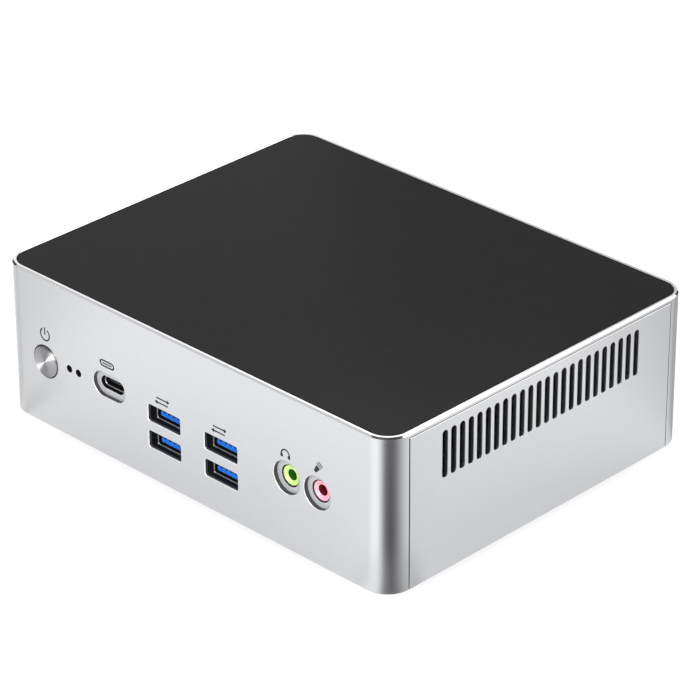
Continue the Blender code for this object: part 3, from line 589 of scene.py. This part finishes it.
def rear_holes():
    dc, lan, usb = (middle_mm(name) for name in ("dc_inlet_pin", "network_socket", "rear_usb_shell"))
    shapes = [circle_at(4.4, (dc.x, dc.z), 48)]
    for name, width, height in (("hdmi_tongue", 16.4, 6.4), ("display_port_tongue", 17.6, 6.4)):
        shapes.append(rounded_at(width, height, 0.8, (middle_mm(name).x, VIDEO_Z), 4))
    shapes.append(rounded_at(16.6, 14.6, 0.3, (lan.x, NETWORK_Z), 2))
    shapes.append(rounded_at(14.6, 16.5, 0.3, (usb.x, usb.z), 2))
    middle_x, middle_z = REAR_SLOT_MIDDLE
    for i in range(REAR_SLOTS):
        place = (middle_x + (i - (REAR_SLOTS - 1) // 2) * REAR_SLOT_PITCH, middle_z)
        shapes.append(rounded_at(SLOT_WIDTH, REAR_SLOT_HEIGHT, SLOT_RADIUS, place, 6))
    return [hole(shape, REAR, -1, THROUGH) for shape in shapes]


def side_plate(name, side):
    """A plate with rounded vent slots. Every outer edge has a small break."""
    half, low, high = PLATE_HIGH.y, PLATE_LOW.z, PLATE_HIGH.z
    outer, inner = side * WIDTH / 2, side * (WIDTH / 2 - 1.5)
    plate = shells_object(name, (add_stack, [
        (rectangle(-half, low, half, high), inner),
        (rectangle(-half, low, half, high), outer - side * EDGE),
        (rectangle(-half + EDGE, low + EDGE, half - EDGE, high - EDGE), outer),
    ], "X"))
    slots = []
    for i in range(SLOT_COUNT):
        centre = (SLOT_MIDDLE + (i - (SLOT_COUNT - 1) / 2) * SLOT_PITCH, (SLOT_LOW + SLOT_HIGH) / 2)
        shape = rounded_at(SLOT_WIDTH, SLOT_HIGH - SLOT_LOW, SLOT_RADIUS, centre, 6)
        slots.append(hole(shape, outer, -side, 3.0, "X", 0.08))
    cut(plate, *slots)
    piece(plate, "anodised_silver", replaces=[name])


def top_panel():
    low, high = box_mm("top_panel")
    inset = RIM_INSET + PANEL_GAP
    panel = shells_object("top_panel_skin", layered(
        "Z", case_ring, (inset, low.z), (inset, high.z - 0.12), (inset + 0.04, high.z - 0.04),
        (inset + 0.12, high.z)))
    piece(panel, "panel_black", replaces=["top_panel"], smooth=20)


# Power button and front lamps

def power_button():
    """A spun cap. The flange behind the wall is thin, so that it clears the spring when pressed."""
    face, reach, end = BUTTON_FACE, BUTTON_RADIUS, box_mm("power_button")[1].y
    flange_radius, flange_back, stem = 6.2, BEHIND_FRONT + 0.5, 1.6
    profile = [(0, face + 0.10)]
    dish = reach - 0.45
    for i in range(1, 13):
        radius = dish * i / 12
        profile.append((radius, face + 0.10 * (1 - (radius / dish) ** 2)))
    profile += [(dish + 0.08, face), (dish + 0.12, face + 0.01), (reach - 0.03, face + 0.3)]
    profile += [(reach, face + 0.4), (reach, BEHIND_FRONT), (flange_radius, BEHIND_FRONT)]
    profile += [(flange_radius, flange_back), (stem, flange_back), (stem, end), (0, end)]
    button = shells_object("power_button_cap", (add_turned, profile, (BUTTON.x, BUTTON.z), "Y", 96))
    piece(button, "spun_metal", "button", ["power_button"], smooth=25)


def light_pipes():
    """Round lenses set back in their holes, with a stem to the lamp under the board."""
    for name, x in zip(("power_light_pipe", "drive_light_pipe"), LED_X):
        low, high = box_mm(name)
        profile = [(0, low.y), (0.35, low.y + 0.05), (0.6, low.y + 0.2), (0.7, low.y + 0.45),
                   (0.7, BEHIND_FRONT), (1.3, BEHIND_FRONT), (1.3, high.y), (0, high.y)]
        pipe = shells_object(f"{name}_lens", (add_turned, profile, (x, LED_Z), "Y", 24))
        join(pipe, (add_box, (x - 0.9, high.y - 2.3, LED_Z), (x + 0.9, high.y - 0.3, high.z)))
        piece(pipe, "smoked_plastic", replaces=[name])


# USB-A sockets

def usb_a_shell(node):
    """A folded metal shell round stacked sockets: flared lips, and spring tabs in each socket's walls."""
    _, _, x, inward, face, back = box_from_face(node)
    shell = shells_object(f"{node}_folded", layered(
        "Y", front_shape(node, 0.5, 4), (-0.15, face), (0.0, face + inward * 0.15), (0.0, back)))
    cut(shell, *[layered("Y", rounded_at(12.6, 5.2, 0.35, (x, z), 4), (0.22, face + inward * -0.04),
                       (0.0, face + inward * 0.18), (0.0, face + inward * 15.0)) for z in USB_LEVELS])
    for z in USB_LEVELS:
        join(shell, *spring_tabs(x, z, face, inward))
    socket_finish(shell, [(x, z) for z in USB_LEVELS], face, inward, node)


def socket_finish(shell, centres, face, inward, node):
    """A plated shell with a bright lip round each socket, and its insides painted near-black as painted
    shade.
    """
    piece(shell, "nickel_shell", replaces=[node], smooth=35, materials=SOCKET_MATERIALS)
    for polygon in shell.data.polygons:
        place = polygon.center / MM
        x, z = min(centres, key=lambda centre: math.dist(centre, (place.x, place.z)))
        depth = (place.y - face) * inward
        # Painted shade: the inward faces deeper in take the near-black lining, though the shell is plated
        # metal inside.
        if polygon.normal.x * (x - place.x) + polygon.normal.z * (z - place.z) > 1e-4 and 0 < depth < 14:
            polygon.material_index = 1 if depth < 0.3 and abs(polygon.normal.y) > 0.2 else 2


def spring_tabs(x, z, face, inward):
    """Two tabs in the floor and two in the roof of a socket, that grip the plug."""
    tabs = []
    for side in (-1, 1):
        wall = z + side * 2.6
        for offset in (-3.1, 3.1):
            section = [(0.9, 0.2), (0.9, -0.02), (3.4, -0.42), (4.0, -0.42), (6.8, 0.2)]
            points = [(face + inward * run, wall + side * rise) for run, rise in section]
            tabs.append((add_prism, points, x + offset - 0.9, x + offset + 0.9, "X"))
    return tabs


def usb_a_tongue(node):
    """The plastic tongue. A black cover on its top, painted shade where the top lies in shadow, holds the
    contacts, and five end in notches at its tip, filled black as painted shade.
    """
    low, high, x, inward, tip, root = box_from_face(node)
    low.z, high.z = low.z + 0.05, high.z - TONGUE_SAG
    width, height = high.x - low.x, high.z - low.z

    def row(offsets, half, near, far, under, over):
        """Boxes across the tongue, from near to far behind its tip, round its upper face."""
        start, end = tip + inward * near, tip + inward * far
        return [span_box(x + offset, half, start, end, high.z + under, high.z + over) for offset in offsets]

    shape = rounded_at(width, height, 0.6, (x, (low.z + high.z) / 2), 5)
    tongue = shells_object(f"{node}_moulding", layered(
        "Y", shape, (-0.1, tip), (-0.03, tip + inward * 0.05), (0.0, tip + inward * 0.15), (0.0, root)))
    five = [i * CONTACT_PITCH for i in range(-2, 3)]
    cut(tongue, *row(five, 0.5, -0.2, 2.0, -0.48, 0.1))
    piece(tongue, "blue_plastic", replaces=[node])
    # Painted shade: a black sheet over the blue top, and black fills in the notches, where the tongue lies
    # in shadow.
    shade_cover = [span_box(x, width / 2 - 0.1, tip + inward * 0.4, root, high.z - 0.1, high.z + 0.06)]
    shade_cover += row(five, 0.47, 0.15, 1.9, -0.46, -0.12)
    piece(shells_object(f"{node}_carrier", *shade_cover), "black_plastic")
    strips = row(five, 0.3, 0.5, 1.8, -0.14, 0.09) + row((-3.5, -1.0, 1.0, 3.5), 0.45, 3.1, 9.4, -0.02, 0.1)
    piece(shells_object(f"{node}_contacts", *strips), "contact_gold")


def usb_a_shade_frame(x, z, name):
    """A black frame behind an opening's edge, which leads to the connector a little below. It is painted
    shade: a dark sheet set where the opening's inside lies in shade.
    """
    start, end = FRONT + SKIN + 0.05, FRONT + WALL + 0.25
    width, height, radius = USB_OPENING
    shape = rounded_at(width, height, radius, (x, z), 5)
    shade_frame = shells_object(name, (add_prism, shape(0.65), start, end, "Y"))
    far = rounded(width, height + 0.3, radius, (x, z - SOCKET_DROP), 5, 0.03)
    cut(shade_frame, (add_stack, [(shape(0.03), start - 0.1), (far, end + 0.1)], "Y"))
    piece(shade_frame, "black_plastic", materials=["painted_shade_lining"])


def span_box(x, half, start, end, low, high):
    """A box centred on x, between two depths given in either order."""
    return add_box, (x - half, min(start, end), low), (x + half, max(start, end), high)


def tongue_contacts(name, count, x, pitch, half, start, end, levels):
    """Flat contacts on both faces of a tongue."""
    pads = [span_box(x + (i - (count - 1) / 2) * pitch, half, start, end, level - 0.02, level + 0.02)
            for i in range(count) for level in levels]
    piece(shells_object(name, *pads), "contact_gold")


# USB-C socket

def usb_c_socket():
    low, high, *centre = box_and_middle("usb_c_shell")
    shape = front_shape("usb_c_shell", (high.z - low.z) / 2, 12)
    shell = shells_object("usb_c_drawn_shell", layered(
        "Y", shape, (-0.1, low.y), (0.0, low.y + 0.1), (0.0, high.y)))
    cut(shell, layered("Y", shape, (-0.12, low.y - 0.02), (-0.3, low.y + 0.16), (-0.3, high.y - 0.8)))
    socket_finish(shell, [centre], low.y, 1, "usb_c_shell")
    low, high = box_mm("usb_c_tongue")
    wide = rounded(6.7, 0.7, 0.3, centre, 4)
    rings = [(rounded(6.5, 0.5, 0.2, centre, 4), low.y), (wide, low.y + 0.15), (wide, high.y)]
    blade = shells_object("usb_c_blade", (add_stack, rings, "Y"))
    join(blade, (add_prism, rounded(7.9, 2.2, 1.0, centre, 8), high.y - 1.6, high.y - 0.1, "Y"))
    piece(blade, "black_plastic", replaces=["usb_c_tongue"])
    tongue_contacts("usb_c_contacts", 12, centre[0], 0.5, 0.13, low.y + 2.2, low.y + 4.2,
                    (centre[1] - 0.35, centre[1] + 0.35))


# Audio sockets

def audio_jack(node, colour):
    """A moulded body with a dished nose in the wall, and down its bore a sleeve painted darker as painted
    shade, and a contact.
    """
    low, high, x, _ = box_and_middle(node)
    outline = front_shape(node, 0.3, 3)(0.0)
    jack = shells_object(f"{node}_moulding", (add_prism, outline, BEHIND_FRONT, high.y, "Y"))
    face = low.y - 0.15
    outer = JACK_HOLE - 0.42
    nose = [(0, face + 0.55), (1.9, face + 0.55), (2.1, face + 0.42), (2.4, face + 0.2), (2.6, face + 0.06),
            (2.7, face), (outer - 0.15, face), (outer - 0.04, face + 0.04), (outer, face + 0.15)]
    nose += [(outer, BEHIND_FRONT + 0.7), (0, BEHIND_FRONT + 0.7)]
    join(jack, (add_turned, nose, (x, JACK_Z), "Y", 64))
    shaded_bore = [(0, face + 0.3), (JACK_BORE, face + 0.3), (JACK_BORE, high.y - 1.8), (0, high.y - 1.8)]
    cut(jack, (add_turned, shaded_bore, (x, JACK_Z), "Y", 64))
    piece(jack, f"{colour}_plastic", replaces=[node], smooth=28)
    # Painted shade: the sleeve down the bore takes a darker copy of the jack's colour.
    sleeve = [(1.74, face + 0.57), (1.68, face + 0.62), (1.68, face + 3.3), (1.74, face + 3.3)]
    painted_shade_lining = shells_object(f"{node}_bore", (add_turned, sleeve, (x, JACK_Z), "Y", 48, True))
    piece(painted_shade_lining, f"{colour}_plastic", materials=[f"{colour}_bore"])
    ring = [(1.74, face + 3.4), (1.5, face + 3.6), (1.5, face + 4.6), (1.74, face + 5.0), (1.9, face + 5.0),
            (1.9, face + 3.4)]
    contact = shells_object(f"{node}_contact", (add_turned, ring, (x, JACK_Z), "Y", 32, True))
    piece(contact, "contact_gold")


# Printed marks

def mark(name, *outlines):
    """A thin layer of ink on the front face."""
    layers = [(add_prism, outline, FRONT - MARK_PROUD, FRONT + MARK_SUNK, "Y") for outline in outlines]
    piece(shells_object(name, *layers), "black_plastic", materials=["ink"])


def power_mark():
    """A ring open at the top, and a bar through the gap."""
    x, z = BUTTON.x + 0.1, BUTTON.z + 9.15
    ring = strip(arc(1.95, 122, 418, (x, z), 40), 0.25)
    mark("power_mark", ring, rectangle(x - 0.24, z - 0.1, x + 0.24, z + 2.4))


def usb_c_mark():
    """The rounded outline of the socket, in short strips that overlap a little, with a line inside."""
    x, z = USB_C.x - 0.6, USB_C.z + 7.2
    reach, radius = 2.0, 0.9
    line = arc(radius, 90, 270, (x - reach, z), 12) + arc(radius, -90, 90, (x + reach, z), 12)
    strips = []
    for start, end in zip(line, line[1:] + line[:1]):
        over = (Vector(end) - Vector(start)).normalized() * 0.02
        strips.append(strip([tuple(Vector(start) - over), tuple(Vector(end) + over)], 0.26))
    mark("usb_c_mark", *strips, strip([(x - reach, z), (x + reach, z)], 0.19))


def data_marks():
    """Two small arrows that point opposite ways, over each pair of sockets."""
    outlines = []
    for name in USB_STACKS:
        x = middle_mm(f"{name}_shell").x - 0.5
        z = USB_LEVELS[0] + SOCKET_DROP + 5.6
        for way, rise in ((1, 0.72), (-1, -0.72)):
            level = z + rise
            root, tip = x + way * 2.0, x + way * 3.2
            outlines.append(rectangle(x - 2.4, level - 0.23, x + 2.4, level + 0.23))
            outlines.append([(root, level + 0.7), (root, level - 0.7), (tip, level)][::way])
    mark("data_marks", *outlines)


def headphone_mark():
    x, z = middle_mm("headphone_jack").x - 0.4, JACK_Z + 7.3
    band = strip(arc(1.6, -8, 188, (x, z), 24), 0.24)
    cups = [rounded(1.0, 1.2, 0.42, (x + side * 1.45, z - 0.45), 5) for side in (-1, 1)]
    mark("headphone_mark", band, *cups)


def microphone_mark():
    """A handheld microphone on a slant: a tapered handle, and two bars for its head."""
    x, z = middle_mm("microphone_jack").x + 0.45, JACK_Z + 8.5
    slant = Vector((0.58, 0.81)).normalized()
    side = Vector((-slant.y, slant.x))

    def across(start, near, end, far):
        root, tip = Vector((x, z)) + slant * start, Vector((x, z)) + slant * end
        corners = (root - side * near, tip - side * far, tip + side * far, root + side * near)
        return [tuple(corner) for corner in corners]

    mark("microphone_mark", across(-2.2, 0.5, 0.1, 0.85), across(0.55, 1.1, 0.9, 1.15),
         across(1.35, 1.1, 1.7, 0.95))


# Rear sockets

def dc_inlet():
    low, high = box_mm("dc_inlet")
    pin_low, pin_high, *centre = box_and_middle("dc_inlet_pin")
    start = BEHIND_REAR - 1.0
    outline = front_shape("dc_inlet", 0.4, 3)(0.0)
    body = shells_object("dc_inlet_moulding", (add_prism, outline, low.y, BEHIND_REAR, "Y"))
    collar = [(0, start), (4.1, start), (4.1, high.y - 0.25), (4.03, high.y - 0.07), (3.85, high.y),
              (0, high.y)]
    join(body, (add_turned, collar, centre, "Y", 64))
    shaded_bore = [(0, high.y + 1), (3.75, high.y + 0.3), (3.35, high.y - 0.1), (3.15, high.y - 0.45),
            (3.15, low.y + 2.5), (0, low.y + 2.5)]
    cut(body, (add_turned, shaded_bore, centre, "Y", 64))
    piece(body, "black_plastic", replaces=["dc_inlet"])
    root, tip = pin_low.y, pin_high.y
    profile = [(0, root), (1.0, root), (1.0, tip - 0.6), (0.93, tip - 0.3), (0.75, tip - 0.08), (0.5, tip),
               (0, tip)]
    pin = shells_object("dc_inlet_turned_pin", (add_turned, profile, centre, "Y", 32))
    piece(pin, "nickel_shell", replaces=["dc_inlet_pin"])


def video_socket(name, width, height):
    """A drawn shell with a bevelled lip, and a tongue with contacts on both sides."""
    shell_low, shell_high = box_mm(f"{name}_shell")
    low, high, x, tongue_z = box_and_middle(f"{name}_tongue")
    z = shell_low.z + (height + 1.0) / 2
    face, back = shell_high.y, shell_low.y
    shape = rounded_at(width + 1.0, height + 1.0, 0.8, (x, z), 6)
    shell = shells_object(f"{name}_drawn_shell", layered(
        "Y", shape, (0.0, back), (0.0, REAR + 0.45), (-0.15, face)))
    join(shell, (add_box, (x - width / 2, back + 0.5, z), (x + width / 2, back + 8.5, shell_high.z)))
    cut(shell, layered("Y", rounded_at(width, height, 0.6, (x, z), 6), (0.25, face + 0.1),
                     (0.15, face - 0.15), (0.0, face - 0.4), (0.0, back + 1.5)))
    piece(shell, "nickel_shell", replaces=[f"{name}_shell"])
    reach, thick = high.x - low.x, high.z - low.z
    outline = rounded(reach, thick, 0.1, (x, tongue_z), 2)
    tip = rounded(reach - 0.4, thick - 0.4, 0.1, (x, tongue_z), 2)
    rings = [(outline, low.y), (outline, high.y - 0.25), (tip, high.y)]
    tongue = shells_object(f"{name}_blade", (add_stack, rings, "Y"))
    piece(tongue, "black_plastic", replaces=[f"{name}_tongue"])
    pitch = (reach - 1.0) / (VIDEO_CONTACTS - 1)
    tongue_contacts(f"{name}_contacts", VIDEO_CONTACTS, x, pitch, pitch * 0.28, high.y - 5.5, high.y - 0.6,
                    (low.z, high.z))


def network_socket():
    """A shielded socket with a stepped mouth, a bevelled lip and a contact comb."""
    low, high = box_mm("network_socket")
    x, z = (low.x + high.x) / 2, low.z + 6.9
    face = high.y
    outline = rectangle(low.x, low.z, high.x, high.z)
    inset = rectangle(low.x + 0.15, low.z + 0.15, high.x - 0.15, high.z - 0.15)
    rings = [(outline, low.y), (outline, face - 0.15), (inset, face)]
    shell = shells_object("network_socket_shield", (add_stack, rings, "Y"))

    def mouth(grow):
        wide, narrow = 5.9 + grow, 3.1 + grow
        shoulder, sill, top = -3.4 - grow, -5.6 - grow, 4.2 + grow
        steps = [(-wide, shoulder), (-narrow, shoulder), (-narrow, sill), (narrow, sill), (narrow, shoulder),
                 (wide, shoulder), (wide, top), (-wide, top)]
        return [(x + u, z + v) for u, v in steps]

    cut(shell, layered("Y", mouth, (0.3, face + 0.1), (0.0, face - 0.25), (0.0, low.y + 3.0)))
    piece(shell, "nickel_shell", replaces=["network_socket"])
    low, high = box_mm("network_contacts")
    comb = shells_object("network_contact_carrier", (add_box, tuple(low), tuple(high)))
    places = [x + (i - 3.5) * 1.02 for i in range(8)]
    cut(comb, *[span_box(place, 0.3, low.y + 3.0, high.y + 1, low.z - 0.5, low.z + 0.6) for place in places])
    piece(comb, "black_plastic", replaces=["network_contacts"])
    wires = [span_box(place, 0.2, low.y + 3.2, high.y - 0.3, low.z - 0.35, low.z + 0.3) for place in places]
    piece(shells_object("network_contact_wires", *wires), "contact_gold")


# Underside

def bottom_cover():
    """A powder-coated sheet with a broken edge, long vent slots, foot holes and countersinks."""
    low, high = box_mm("bottom_cover")
    shape = rounded_at(high.x - low.x, high.y - low.y, COVER_CORNER, (0.0, 0.0), 10)
    cover = shells_object("bottom_cover_sheet", layered(
        "Z", shape, (-0.25, low.z), (-0.07, low.z + 0.07), (0.0, low.z + 0.25), (0.0, high.z)))
    cutters = []
    for i in range(COVER_SLOTS):
        x = (i - (COVER_SLOTS - 1) / 2) * COVER_SLOT_PITCH
        for y in (-COVER_SLOT_Y, COVER_SLOT_Y):
            cutters.append(hole(rounded_at(3.0, 16.0, 1.5, (x, y), 8), low.z, 1, 3.0, "Z", 0.12))
    for name in CORNERS:
        place = middle_mm(f"foot_{name}")
        cutters.append((add_prism, circle(2.3, (place.x, place.y), 24), low.z - 1, high.z + 1))
    for name in CORNERS:
        place = middle_mm(f"cover_screw_{name}")
        sink = [(0, low.z - 0.5), (3.8, low.z - 0.5), (3.2, low.z + 0.05), (1.8, low.z + 1.4)]
        sink += [(1.8, high.z + 1), (0, high.z + 1)]
        cutters.append((add_turned, sink, (place.x, place.y), "Z", 32))
    cut(cover, *cutters)
    piece(cover, "cover_paint", replaces=["bottom_cover"])


def foot(name):
    """A moulded foot: a rounded rim, a groove and a centre dimple in its sole, and a snap-in stem."""
    place = middle_mm(f"foot_{name}")
    seat, end = BOTTOM - 0.3, box_mm(f"foot_{name}")[1].z
    dimple = [(0, 0.45), (1.2, 0.40), (1.7, 0.08), (1.9, 0.0)]
    groove = [(3.1, 0.0), (3.25, 0.35), (3.75, 0.35), (3.9, 0.0)]
    rim = [(5.75, 0.0), (6.1, 0.06), (6.38, 0.26), (6.5, 0.6), (6.5, seat - 0.15), (6.35, seat)]
    stem = [(2.0, seat), (2.0, 3.9), (2.6, 4.3), (2.5, 4.6), (2.0, end), (0, end)]
    profile = dimple + groove + rim + stem
    sole = shells_object(f"foot_{name}_moulding", (add_turned, profile, (place.x, place.y), "Z", 64))
    piece(sole, "foot_rubber", replaces=[f"foot_{name}"])


def cross(centre, reach, half):
    """The outline of a plus sign."""
    points = []
    for turn in range(4):
        for u, v in ((reach, -half), (reach, half), (half, half)):
            for _ in range(turn):
                u, v = -v, u
            points.append((centre[0] + u, centre[1] + v))
    return points


def screw(node, place, profile, start, end):
    """A turned screw with a tapered cross recess, wide at start and narrow at end."""
    middle = (place.x, place.y)
    turned = shells_object(f"{node}_turned", (add_turned, profile, middle, "Z", 32))
    cut(turned, (add_stack, [(cross(middle, 1.5, 0.34), start), (cross(middle, 0.75, 0.2), end)]))
    piece(turned, "steel", replaces=[node])


def screws(name):
    """A countersunk cover screw and a pan-head board screw, each with a cross recess."""
    place = middle_mm(f"cover_screw_{name}")
    low, high = box_mm(f"cover_screw_{name}")
    profile = [(0, low.z), (2.72, low.z), (2.86, low.z + 0.04), (2.9, low.z + 0.12), (1.5, low.z + 1.4)]
    profile += [(1.5 - 0.16 * (i % 2), low.z + 1.7 + i * 0.35) for i in range(21)]
    profile += [(1.3, high.z - 0.8), (0, high.z)]
    screw(f"cover_screw_{name}", place, profile, low.z - 0.01, low.z + 1.0)
    low, high = box_mm(f"board_screw_{name}")
    head = high.z - 1.9
    profile = [(0, low.z), (1.3, low.z + 0.8), (1.5, low.z + 1.0), (1.5, head), (2.75, head)]
    profile += [(2.8, head + 0.1), (2.8, head + 0.8), (2.6, head + 1.35), (2.1, head + 1.7)]
    profile += [(1.3, high.z), (0, high.z)]
    screw(f"board_screw_{name}", place, profile, high.z + 0.01, high.z - 1.0)


# Camera and studio

def direction(azimuth, elevation):
    """The way out from the object. Azimuth, in radians, is measured from the front towards +X."""
    level = math.cos(elevation)
    return Vector((math.sin(azimuth) * level, -math.cos(azimuth) * level, math.sin(elevation)))


def camera():
    """The view through a long lens, with a slight roll."""
    azimuth, elevation, roll = (math.radians(a) for a in (44.541, 28.444, -0.258))
    back = direction(azimuth, elevation)
    right = Vector((math.cos(azimuth), math.sin(azimuth), 0.0))
    up = back.cross(right)
    turned_right = right * math.cos(roll) + up * math.sin(roll)
    turned_up = up * math.cos(roll) - right * math.sin(roll)
    distance, aside, below = 1051.45, -2.169, 0.732
    place = Vector((0, 0, (BOTTOM + TOP) / 2)) + back * distance - turned_right * aside - turned_up * below
    data = bpy.data.cameras.new("camera")
    data.sensor_width = 36.0
    data.lens = 181.35
    obj = add_object("camera", data)
    axes = Matrix((turned_right, turned_up, back)).transposed().to_4x4()
    obj.matrix_world = Matrix.Translation(place * MM) @ axes
    bpy.context.scene.camera = obj


def softbox(name, azimuth, elevation, distance, width, height, radiance, glossy=True, diffuse=True):
    """A rectangular light that faces the object, with its angles in degrees."""
    out = direction(math.radians(azimuth), math.radians(elevation))
    data = bpy.data.lights.new(name, "AREA")
    data.shape = "RECTANGLE"
    data.size, data.size_y = width, height
    data.energy = radiance * math.pi * width * height
    obj = add_object(name, data)
    obj.location = Vector((0, 0, 0.03)) + out * distance
    obj.rotation_euler = out.to_track_quat("Z", "Y").to_euler()
    obj.visible_glossy = glossy
    obj.visible_diffuse = diffuse
    obj.visible_camera = False


def floor():
    bm = bmesh.new()
    bmesh.ops.create_grid(bm, x_segments=8, y_segments=8, size=5.0)
    mesh = bpy.data.meshes.new("floor")
    bm.to_mesh(mesh)
    bm.free()
    obj = add_object("floor", mesh)
    shader = Shader("light_table", (0.13, 0.13, 0.13), 0.9)
    shader.set("Emission Color", (1.0, 1.0, 1.0, 1.0))
    # Painted shadow: the glow runs from 0.83 near the case to 1.16 further out, a dimmer ring for the shade
    # round the case's foot, seen mostly in its reflections.
    place = shader.stretched((2 / (WIDTH * MM), 2 / (DEPTH * MM), 0.0))
    reach = shader.node("ShaderNodeVectorMath", {0: place}, operation="LENGTH").outputs["Value"]
    shader.set("Emission Strength", shader.spread(reach, 0.83, 1.16, 1.15, 2.1))
    shader.shade(shader.noise(400.0), 0.99, 1.0)
    mesh.materials.append(shader.material)


def reflection_card(name, centre, stops, radii=(9.5, 400)):
    """A flat sector above the floor that only reflections see, round one of the case's corners.

    It stands for the camera, its stand and the rest of the room. stops holds (azimuth, brightness) pairs,
    with azimuths measured from the front towards +X.
    """
    start, end = stops[0][0], stops[-1][0]
    middle = (start + end) / 2
    steps = 24
    points = []
    for radius in radii:
        for i in range(steps + 1):
            a = math.radians(start + (end - start) * i / steps)
            points.append((radius * MM * math.sin(a), -radius * MM * math.cos(a), 0.0))
    row = steps + 1
    faces = [(i, i + 1, row + i + 1, row + i) for i in range(steps)]
    mesh = bpy.data.meshes.new(name)
    mesh.from_pydata(points, [], faces)
    obj = add_object(name, mesh)
    obj.location = Vector((*centre, 0.3)) * MM
    shader = Shader(name, (0.0, 0.0, 0.0), 1.0)
    turned = {"Rotation": (0.0, 0.0, math.radians(90.0 - middle)), "Vector": shader.place}
    mapping = shader.node("ShaderNodeMapping", turned, vector_type="POINT").outputs["Vector"]
    turn = shader.node("ShaderNodeTexGradient", {"Vector": mapping}, gradient_type="RADIAL").outputs["Fac"]
    greys = [((azimuth - middle) / 360.0 + 0.5, [brightness] * 3) for azimuth, brightness in stops]
    emission = shader.node("ShaderNodeEmission", {"Color": shader.ramp(turn, greys)}).outputs["Emission"]
    shader.put(shader.tree.nodes["Material Output"], "Surface", emission)
    mesh.materials.append(shader.material)
    for rays in ("camera", "diffuse", "shadow", "transmission"):
        setattr(obj, f"visible_{rays}", False)


def studio():
    scene = bpy.context.scene
    scene.view_settings.view_transform = "Standard"
    world = bpy.data.worlds.new("studio")
    world.use_nodes = True
    world.node_tree.nodes["Background"].inputs["Color"].default_value = (0.05, 0.05, 0.052, 1.0)
    scene.world = world
    softbox("overhead", 0, 88, 1.3, 2.0, 2.0, 2.0, glossy=False)
    softbox("front_fill", 35, 30, 1.4, 1.2, 0.8, 7.0, glossy=False)
    softbox("right_back", 142, 38, 1.0, 0.7, 0.6, 2.6, diffuse=False)
    softbox("front_left", -52, 39, 1.0, 0.6, 0.5, 0.6, diffuse=False)
    softbox("back", -135, 28, 1.1, 1.9, 0.45, 0.57, diffuse=False)
    softbox("back_left", -110.8, 28, 1.1, 0.9, 0.45, 0.32, diffuse=False)
    softbox("back_left_upper", -117, 41, 1.1, 0.9, 0.25, 1.3, diffuse=False)
    softbox("button_key", 18, 24, 1.0, 0.5, 0.5, 19.0, diffuse=False)
    side_x, side_y = WIDTH / 2 - CORNER, DEPTH / 2 - CORNER
    reflection_card("front_right_card", (side_x, -side_y), [
        (-34, 1.22), (-16, 1.5), (5, 1.6), (18, 1.05), (30, 0.08), (54, 0.02), (74, 0.2), (92, 0.6),
        (112, 0.97), (130, 1.12)], (30, 400))
    reflection_card("front_right_near_card", (side_x, -side_y), [
        (-34, 1.0), (-16, 1.25), (5, 1.3), (18, 1.08), (32, 0.3), (56, 0.14), (74, 0.34), (92, 0.63),
        (112, 0.8), (122, 0.8), (130, 0.95)], (9.5, 30))
    reflection_card("rear_right_card", (side_x, side_y), [
        (112, 1.14), (127, 1.08), (142, 0.85), (150, 0.57), (185, 0.57), (205, 0.8)])
    reflection_card("front_left_card", (-side_x, -side_y), [
        (-185, 0.8), (-160, 0.85), (-135, 1.5), (-112, 1.5), (-90, 1.1), (-60, 0.85), (-32, 1.2)])
    reflection_card("front_left_near_card", (-side_x, -side_y), [
        (-32, 1.0), (-24, 0.92), (-12, 0.97)], (9.5, 34))
    floor()


case_shell()
side_plate("left_side_plate", -1)
side_plate("right_side_plate", 1)
top_panel()
power_button()
light_pipes()
for stack in USB_STACKS + ("rear_usb",):
    usb_a_shell(f"{stack}_shell")
    usb_a_tongue(f"{stack}_upper_tongue")
    usb_a_tongue(f"{stack}_lower_tongue")
for stack in USB_STACKS:
    for level, z in zip(("upper", "lower"), USB_LEVELS):
        usb_a_shade_frame(middle_mm(f"{stack}_shell").x, z + SOCKET_DROP, f"{stack}_{level}_shade_frame")
usb_c_socket()
audio_jack("headphone_jack", "green")
audio_jack("microphone_jack", "pink")
power_mark()
usb_c_mark()
data_marks()
headphone_mark()
microphone_mark()
dc_inlet()
video_socket("hdmi", 14.4, 4.6)
video_socket("display_port", 15.6, 4.7)
network_socket()
bottom_cover()
for corner in CORNERS:
    foot(corner)
    screws(corner)
camera()
studio()

for entry in frame["record"]["subparts"]:
    node = frame["nodes"][entry["node"]]
    node.data.materials.clear()
    node.data.materials.append(MATERIALS[entry["material_slot"]])
